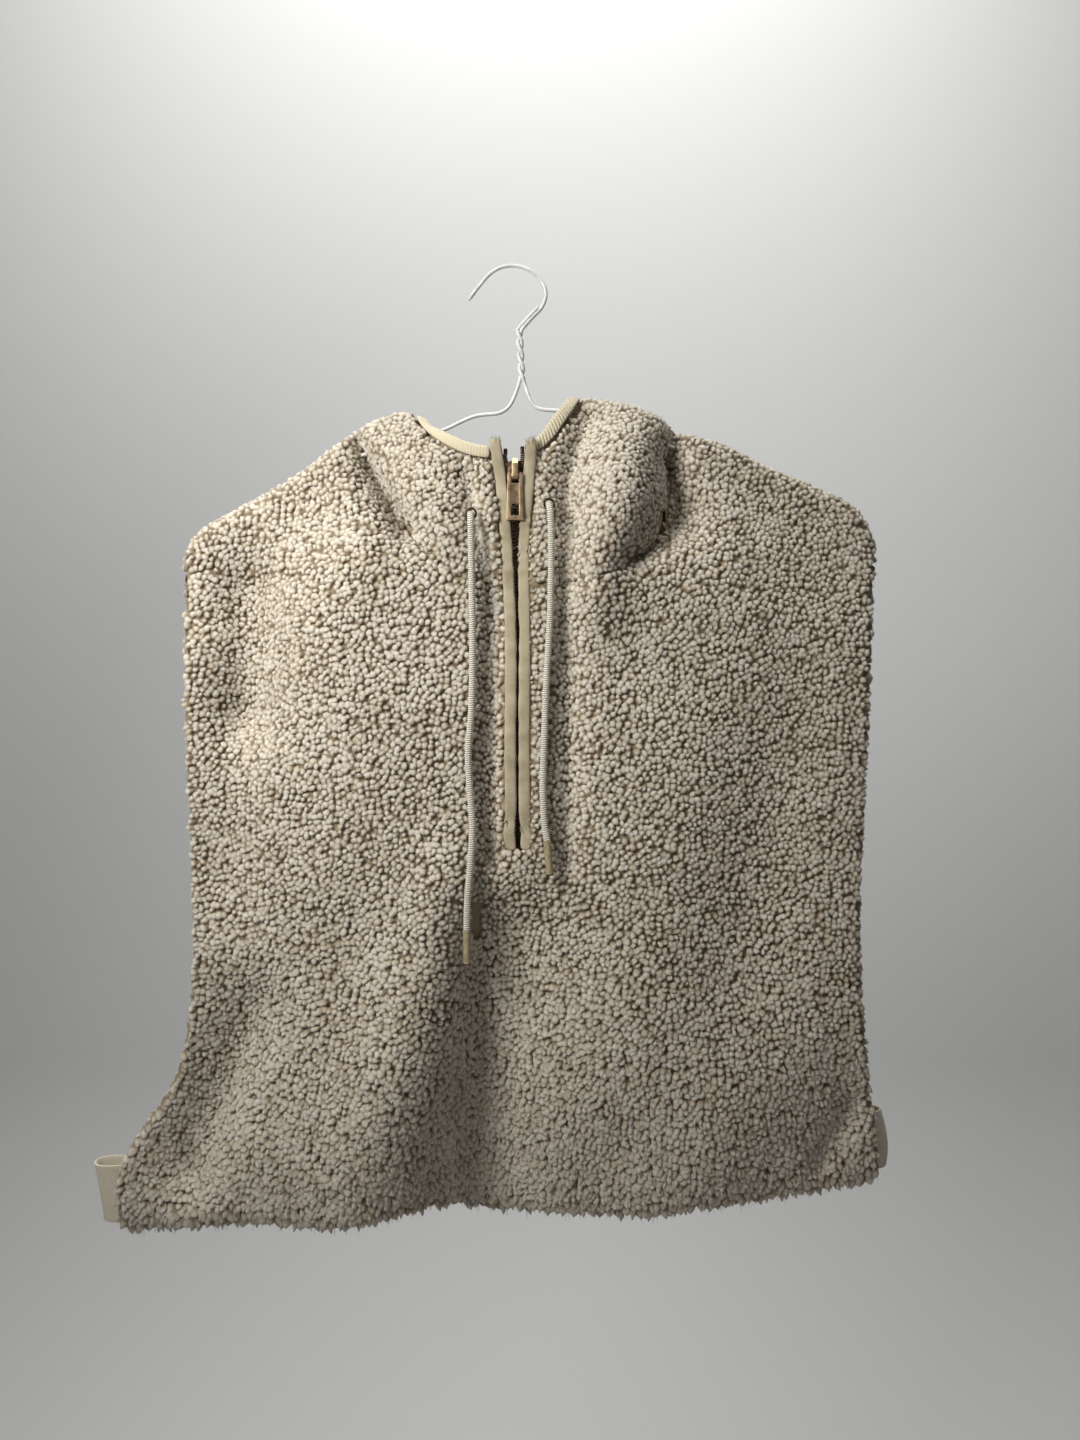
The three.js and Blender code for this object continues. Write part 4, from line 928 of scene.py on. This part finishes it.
closed_teeth = teeth_on("zip_teeth", chain_path, TOOTH["offset"])
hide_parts("zip_chain")
OPEN_EDGES = {
    "left": [(-5.6, -29.0, -134.5), (-4.2, -29.4, -140), (-3.0, -29.7, -145)],
    "right": [(6.6, -29.0, -133.5), (6.0, -29.4, -140), (5.4, -29.7, -145)],
}
for side, edge in OPEN_EDGES.items():
    teeth_on(f"zip_teeth_open_{side}", smooth_route(metres(edge), TOOTH["pitch"]), 0.0)
    stop = hard_copy(f"zip_stop_{side}", f"zip_stop_{side}_crimp", dark_metal, 0.0006)
    place(stop, "vest", "dark_metal", f"zip_stop_{side}")
bpy.data.objects.remove(tooth)


# ---------------------------------------------------------------- slider
# A die-cast body, bronzed dark, that closes the teeth. A lighter gilt bridge is cast on its
# front and holds the pull tab's pin.
gilt, nodes, surface = shader("antique gilt", (186, 152, 102), 0.36, metallic=0.9)
worn = grain(nodes, 260.0, 5.0)
tint(nodes, surface, worn, (0.3, 166, 140, 104), (0.5, 188, 163, 128), (0.72, 202, 179, 146))
nodes.links.new(sum_of(nodes, "MULTIPLY_ADD", worn, 0.3, 0.24), surface.inputs["Roughness"])
bump(nodes, surface, worn, 0.00005, 0.25)

slider = hard_copy("slider", "slider_body", dark_metal, 0.0003)
slider.data.materials.append(gilt)
for face in slider.data.polygons:
    if face.center.y < -0.0316:
        face.material_index = 1
place(slider, "vest", "dark_metal", "slider")


# ---------------------------------------------------------------- pull tab
# A forked gilt plate, stamped with a sunk panel between raised rims and pierced by a window at
# its foot. Its pin turns under the slider's bridge.
TAB_PIN = Vector((0.0015, -0.0346606, -0.1493344))
TAB_LEAN = math.radians(3.13)
TAB_ROWS = [
    # height from the pin, half width, and how each of the three columns stands there, in mm
    {"z": 1.9, "half": 4.7, "columns": ("rim", None, "rim")},
    {"z": -4.8, "half": 4.85, "columns": ("rim", "rim", "rim")},
    {"z": -5.9, "half": 4.9, "columns": ("rim", "panel", "rim")},
    {"z": -18.3, "half": 5.25, "columns": ("rim", None, "rim")},
    {"z": -25.9, "half": 5.42, "columns": ("rim", "rim", "rim")},
    {"z": -29.1, "half": 5.5, "columns": None},
]
TAB_LEVELS = {"rim": -0.8, "panel": -0.5, "back": 0.8}
TAB_CHEEK = 2.7


def tab_corner(row, column, level):
    across = [-TAB_ROWS[row]["half"], -TAB_CHEEK, TAB_CHEEK, TAB_ROWS[row]["half"]][column]
    return (across / 1000, TAB_LEVELS[level] / 1000, TAB_ROWS[row]["z"] / 1000)


def tab_level(row, column):
    if not (0 <= row < len(TAB_ROWS) - 1 and 0 <= column < 3):
        return None
    return TAB_ROWS[row]["columns"][column]


points, faces = [], []


def tab_face(*corners):
    points.extend(corners)
    faces.append(tuple(range(len(points) - len(corners), len(points))))


def tab_wall(a, b, near, far):
    tab_face(*(tab_corner(*at, level) for at, level in ((b, near), (a, near), (a, far), (b, far))))


for row in range(len(TAB_ROWS) - 1):
    for column in range(3):
        level = tab_level(row, column)
        if level is None:
            continue
        quad = [(row, column), (row + 1, column), (row + 1, column + 1), (row, column + 1)]
        tab_face(*(tab_corner(r, c, level) for r, c in quad))
        tab_face(*(tab_corner(r, c, "back") for r, c in reversed(quad)))
        beside = [(row, column - 1), (row + 1, column), (row, column + 1), (row - 1, column)]
        for k, (r, c) in enumerate(beside):
            next_level = tab_level(r, c)
            a, b = quad[k], quad[(k + 1) % 4]
            if next_level is None:
                tab_wall(a, b, level, "back")
            elif TAB_LEVELS[next_level] > TAB_LEVELS[level]:
                tab_wall(a, b, level, next_level)
tab = piece("pull_tab_plate", points, faces, gilt)
work = bmesh.new()
work.from_mesh(tab.data)
bmesh.ops.remove_doubles(work, verts=work.verts, dist=1e-6)
bmesh.ops.recalc_face_normals(work, faces=work.faces)
bmesh.ops.create_cone(
    work, cap_ends=True, segments=16, radius1=0.0008, radius2=0.0008, depth=0.0064,
    matrix=Matrix.Rotation(math.pi / 2, 4, "Y"),
)
bmesh.ops.transform(
    work, verts=work.verts,
    matrix=Matrix.Translation(TAB_PIN) @ Matrix.Rotation(-TAB_LEAN, 4, "X"),
)
work.to_mesh(tab.data)
work.free()
bevelled(tab, 0.00028, 3)
place(tab, "pull_tab", "gold_metal", "pull_tab")


# ---------------------------------------------------------------- eyelets
# Small dark bronzed rings, rolled through the collar's cloth, that the drawcord runs out of.
for side in ("left", "right"):
    ring = hard_copy(f"eyelet_{side}", f"eyelet_{side}_ring", dark_metal, 0.0003)
    place(ring, "vest", "dark_metal", f"eyelet_{side}")


# ---------------------------------------------------------------- side bands
# Flat loops of woven beige elastic, sewn inside the lower corners of front and back, that join
# the two panels at each side.
BAND_HEIGHT = 0.038
BAND_THICKNESS = 0.0015
BAND_WARP = 0.0011
BAND_WEFT = 0.0009
BAND_STEPS = 12
BANDS = {
    "left": {"top": -606, "lean": 6, "out": -1, "bow": 0.0, "path": [
        (-238, -9.6, 0), (-250, -8.2, 0), (-262, -8.2, 0), (-272, -9.2, 0), (-279, -7.4, 0),
        (-282, -2.2, 0), (-281, 2.8, 0), (-275, 6, 0), (-264, 6.4, 0), (-250, 6.1, 0),
        (-238, 7.2, 0),
    ]},
    "right": {"top": -572, "lean": -1.5, "out": 1, "bow": 7.0, "path": [
        (226, -10.8, 0), (238, -8.8, 0), (248, -6, 0), (255, -1, 0), (257, 4, 0),
        (254, 8.2, 0), (247, 9.5, 0), (238, 9.4, 0), (228, 10.2, 0),
    ]},
}

elastic, nodes, surface = shader("woven elastic", (216, 206, 184), 0.8, sheen=0.25, specular=0.25)
run, height = run_of(nodes)
along = sum_of(nodes, "SINE", sum_of(nodes, "MULTIPLY", run, 2 * math.pi / BAND_WARP))
up = sum_of(nodes, "MULTIPLY", height, 2 * math.pi / BAND_WEFT)
across = sum_of(nodes, "SINE", sum_of(nodes, "MULTIPLY_ADD", run, math.pi / BAND_WARP, up))
weave = sum_of(nodes, "MULTIPLY_ADD", across, 0.35, sum_of(nodes, "MULTIPLY_ADD", along, 0.25, 0.5))
fuzz = grain(nodes, 900.0, 3.0)
tint(
    nodes, surface, sum_of(nodes, "MULTIPLY_ADD", fuzz, 0.4, sum_of(nodes, "MULTIPLY", weave, 0.6)),
    (0.15, 168, 156, 132), (0.5, 208, 197, 173), (0.85, 230, 221, 202),
)
bump(nodes, surface, weave, 0.0003, 0.6)

for side, band in BANDS.items():
    path = smooth_route(metres(band["path"]), 0.0012)
    points, faces, uv = [], [], []
    run = 0
    lengths = []
    for i, spot in enumerate(path):
        ahead = (path[min(i + 1, len(path) - 1)] - path[max(i - 1, 0)]).normalized()
        outwards = ahead.cross(Vector((0, 0, 1))) * band["out"]
        middle = spot - outwards * band["out"] * BAND_THICKNESS / 2
        run += (spot - path[i - 1]).length if i else 0
        lengths.append(run)
        for j in range(BAND_STEPS + 1):
            down = j / BAND_STEPS
            edge = 0.0005 * (2 * down - 1) ** 6
            ripple = 0.0004 * math.sin(run * 160 + 4 * down) * (0.3 + 0.7 * down)
            bow = band["bow"] * ((1 - down) ** 2 + 0.3 * down ** 4)
            hang = Vector((
                (down * band["lean"] - bow) / 1000, 0, band["top"] / 1000 - down * BAND_HEIGHT,
            ))
            points.append(middle + outwards * (edge + ripple) + hang)
    for i in range(len(path) - 1):
        for j in range(BAND_STEPS):
            a = i * (BAND_STEPS + 1) + j
            quad = [a, a + 1, a + BAND_STEPS + 2, a + BAND_STEPS + 1]
            spots = [
                (lengths[m], n / BAND_STEPS * BAND_HEIGHT)
                for m, n in ((i, j), (i, j + 1), (i + 1, j + 1), (i + 1, j))
            ]
            if band["out"] < 0:
                quad.reverse()
                spots.reverse()
            faces.append(tuple(quad))
            uv += spots
    loop = piece(f"side_band_{side}_elastic", points, faces, elastic, uv)
    wall = loop.modifiers.new("wall", "SOLIDIFY")
    wall.thickness = BAND_THICKNESS
    wall.offset = 0
    settle(loop)
    bevelled(loop, 0.0004, 2)
    place(loop, "vest", "elastic", f"side_band_{side}")


# ---------------------------------------------------------------- hanger
# One length of steel wire coated in white plastic: hook, twisted neck, two arms and the bar
# below them, with its end wound back up the neck.
WIRE = 0.0025
WIRE_GAP = 0.0003
TWIST = {"top": -43, "foot": -77, "turns": 2, "top_x": 3.6, "foot_x": 5.4}
HOOK = [
    (-30.6, 0, -21.8), (-24, 0, -13), (-15.5, 0, -3.6), (-8, 0, 0.3), (0, 0, 1.25), (8.5, 0, -0.8),
    (16, 0, -6), (20.8, 0, -13), (21.6, 0, -20), (18.6, 0, -27.5), (12.5, 0, -34),
]
TAIL = [(16.2, 0, -27.2), (10.5, 0, -33.2)]
ARM_LEFT = [
    (-2.7, 0, -93.5), (-8.8, 0, -98.4), (-26.5, 0, -101), (-48, 0, -110.5), (-75, 0, -121),
    (-113, 0, -131), (-139, 0, -149.6), (-165, 0, -165), (-186, 0, -178), (-193.5, 0, -183.5),
    (-194.5, 0, -189), (-189, 0, -191.5),
]
ARM_RIGHT = [
    (11.6, 0, -90.5), (16, 0, -95.4), (39.5, 0, -98), (62, 0, -104), (90, 0, -115), (112, 0, -124),
    (127, 0, -129), (160, 0, -146), (201, 0, -162.5), (212, 0, -168), (217, 0, -174),
    (215, 0, -179.5), (208, 0, -181.5),
]


def twist(phase):
    rows = []
    for i in range(TWIST["turns"] * 10 + 1):
        down = i / (TWIST["turns"] * 10)
        angle = phase + 2 * math.pi * TWIST["turns"] * down
        radius = (WIRE + WIRE_GAP) / 2 * 1000
        rows.append((
            TWIST["top_x"] + (TWIST["foot_x"] - TWIST["top_x"]) * down + radius * math.cos(angle),
            radius * math.sin(angle),
            TWIST["top"] + (TWIST["foot"] - TWIST["top"]) * down,
        ))
    return rows


wire_coat, nodes, surface = shader(
    "white wire coating", (236, 236, 233), 0.32, specular=0.5, coat=0.2,
)
dust = grain(nodes, 180.0, 4.0)
tint(nodes, surface, dust, (0.3, 214, 213, 208), (0.6, 238, 238, 236))
bump(nodes, surface, dust, 0.0002, 0.3)
wire_rows = [
    *HOOK, *twist(0), *ARM_RIGHT, *reversed(ARM_LEFT), *reversed(twist(math.pi)), *reversed(TAIL),
]
wire_path = smooth_route(metres(wire_rows), 0.0012)
hanger = tube("hanger_wire", wire_path, lambda run, angle: WIRE / 2, 12, wire_coat)
place(hanger, "vest", "wire_coating", "hanger")


# ---------------------------------------------------------------- floor, backdrop and light
# A pale seamless floor and backdrop, one soft lamp high on the left, and a dim even fill.
FLOOR = -1.45
BACKDROP = 1.30
pale, _, _ = shader("pale paper", (226, 226, 224), 0.9, specular=0.1)
points, faces = [], []
sweep = [(-3.0, FLOOR), (0.5, FLOOR)]
sweep += [
    (BACKDROP - 0.5 + 0.5 * math.sin(a), FLOOR + 0.5 - 0.5 * math.cos(a))
    for a in (math.pi / 2 * k / 16 for k in range(17))
]
sweep += [(BACKDROP, 2.5)]
for y, z in sweep:
    points += [(-4, y, z), (4, y, z)]
for k in range(len(sweep) - 1):
    faces.append((2 * k, 2 * k + 1, 2 * k + 3, 2 * k + 2))
paper = piece("pale_backdrop", points, faces, pale)

lamps = [
    # place, aim, size, power and spread in degrees
    ("key", (-0.47, -0.50, 0.04), (-0.03, 0.0, -0.28), 0.30, 2.15, 104),
    ("fill", (0.5, -1.4, 0.1), (0.0, 0.0, -0.30), 1.8, 1.1, 180),
    ("paper_light", (0.0, 0.2, 1.6), (0.0, 1.2, -0.3), 1.6, 40.0, 180),
]
for name, spot, aim, size, power, spread in lamps:
    lamp = bpy.data.objects.new(name, bpy.data.lights.new(name, "AREA"))
    lamp.data.size = size
    lamp.data.energy = power
    lamp.data.spread = math.radians(spread)
    lamp.location = spot
    lamp.rotation_euler = (Vector(aim) - Vector(spot)).to_track_quat("-Z", "Y").to_euler()
    bpy.context.collection.objects.link(lamp)
world = bpy.data.worlds.new("room")
world.use_nodes = True
world.node_tree.nodes["Background"].inputs[0].default_value = (0.9, 0.93, 1.0, 1)
world.node_tree.nodes["Background"].inputs[1].default_value = 0.05
bpy.context.scene.world = world
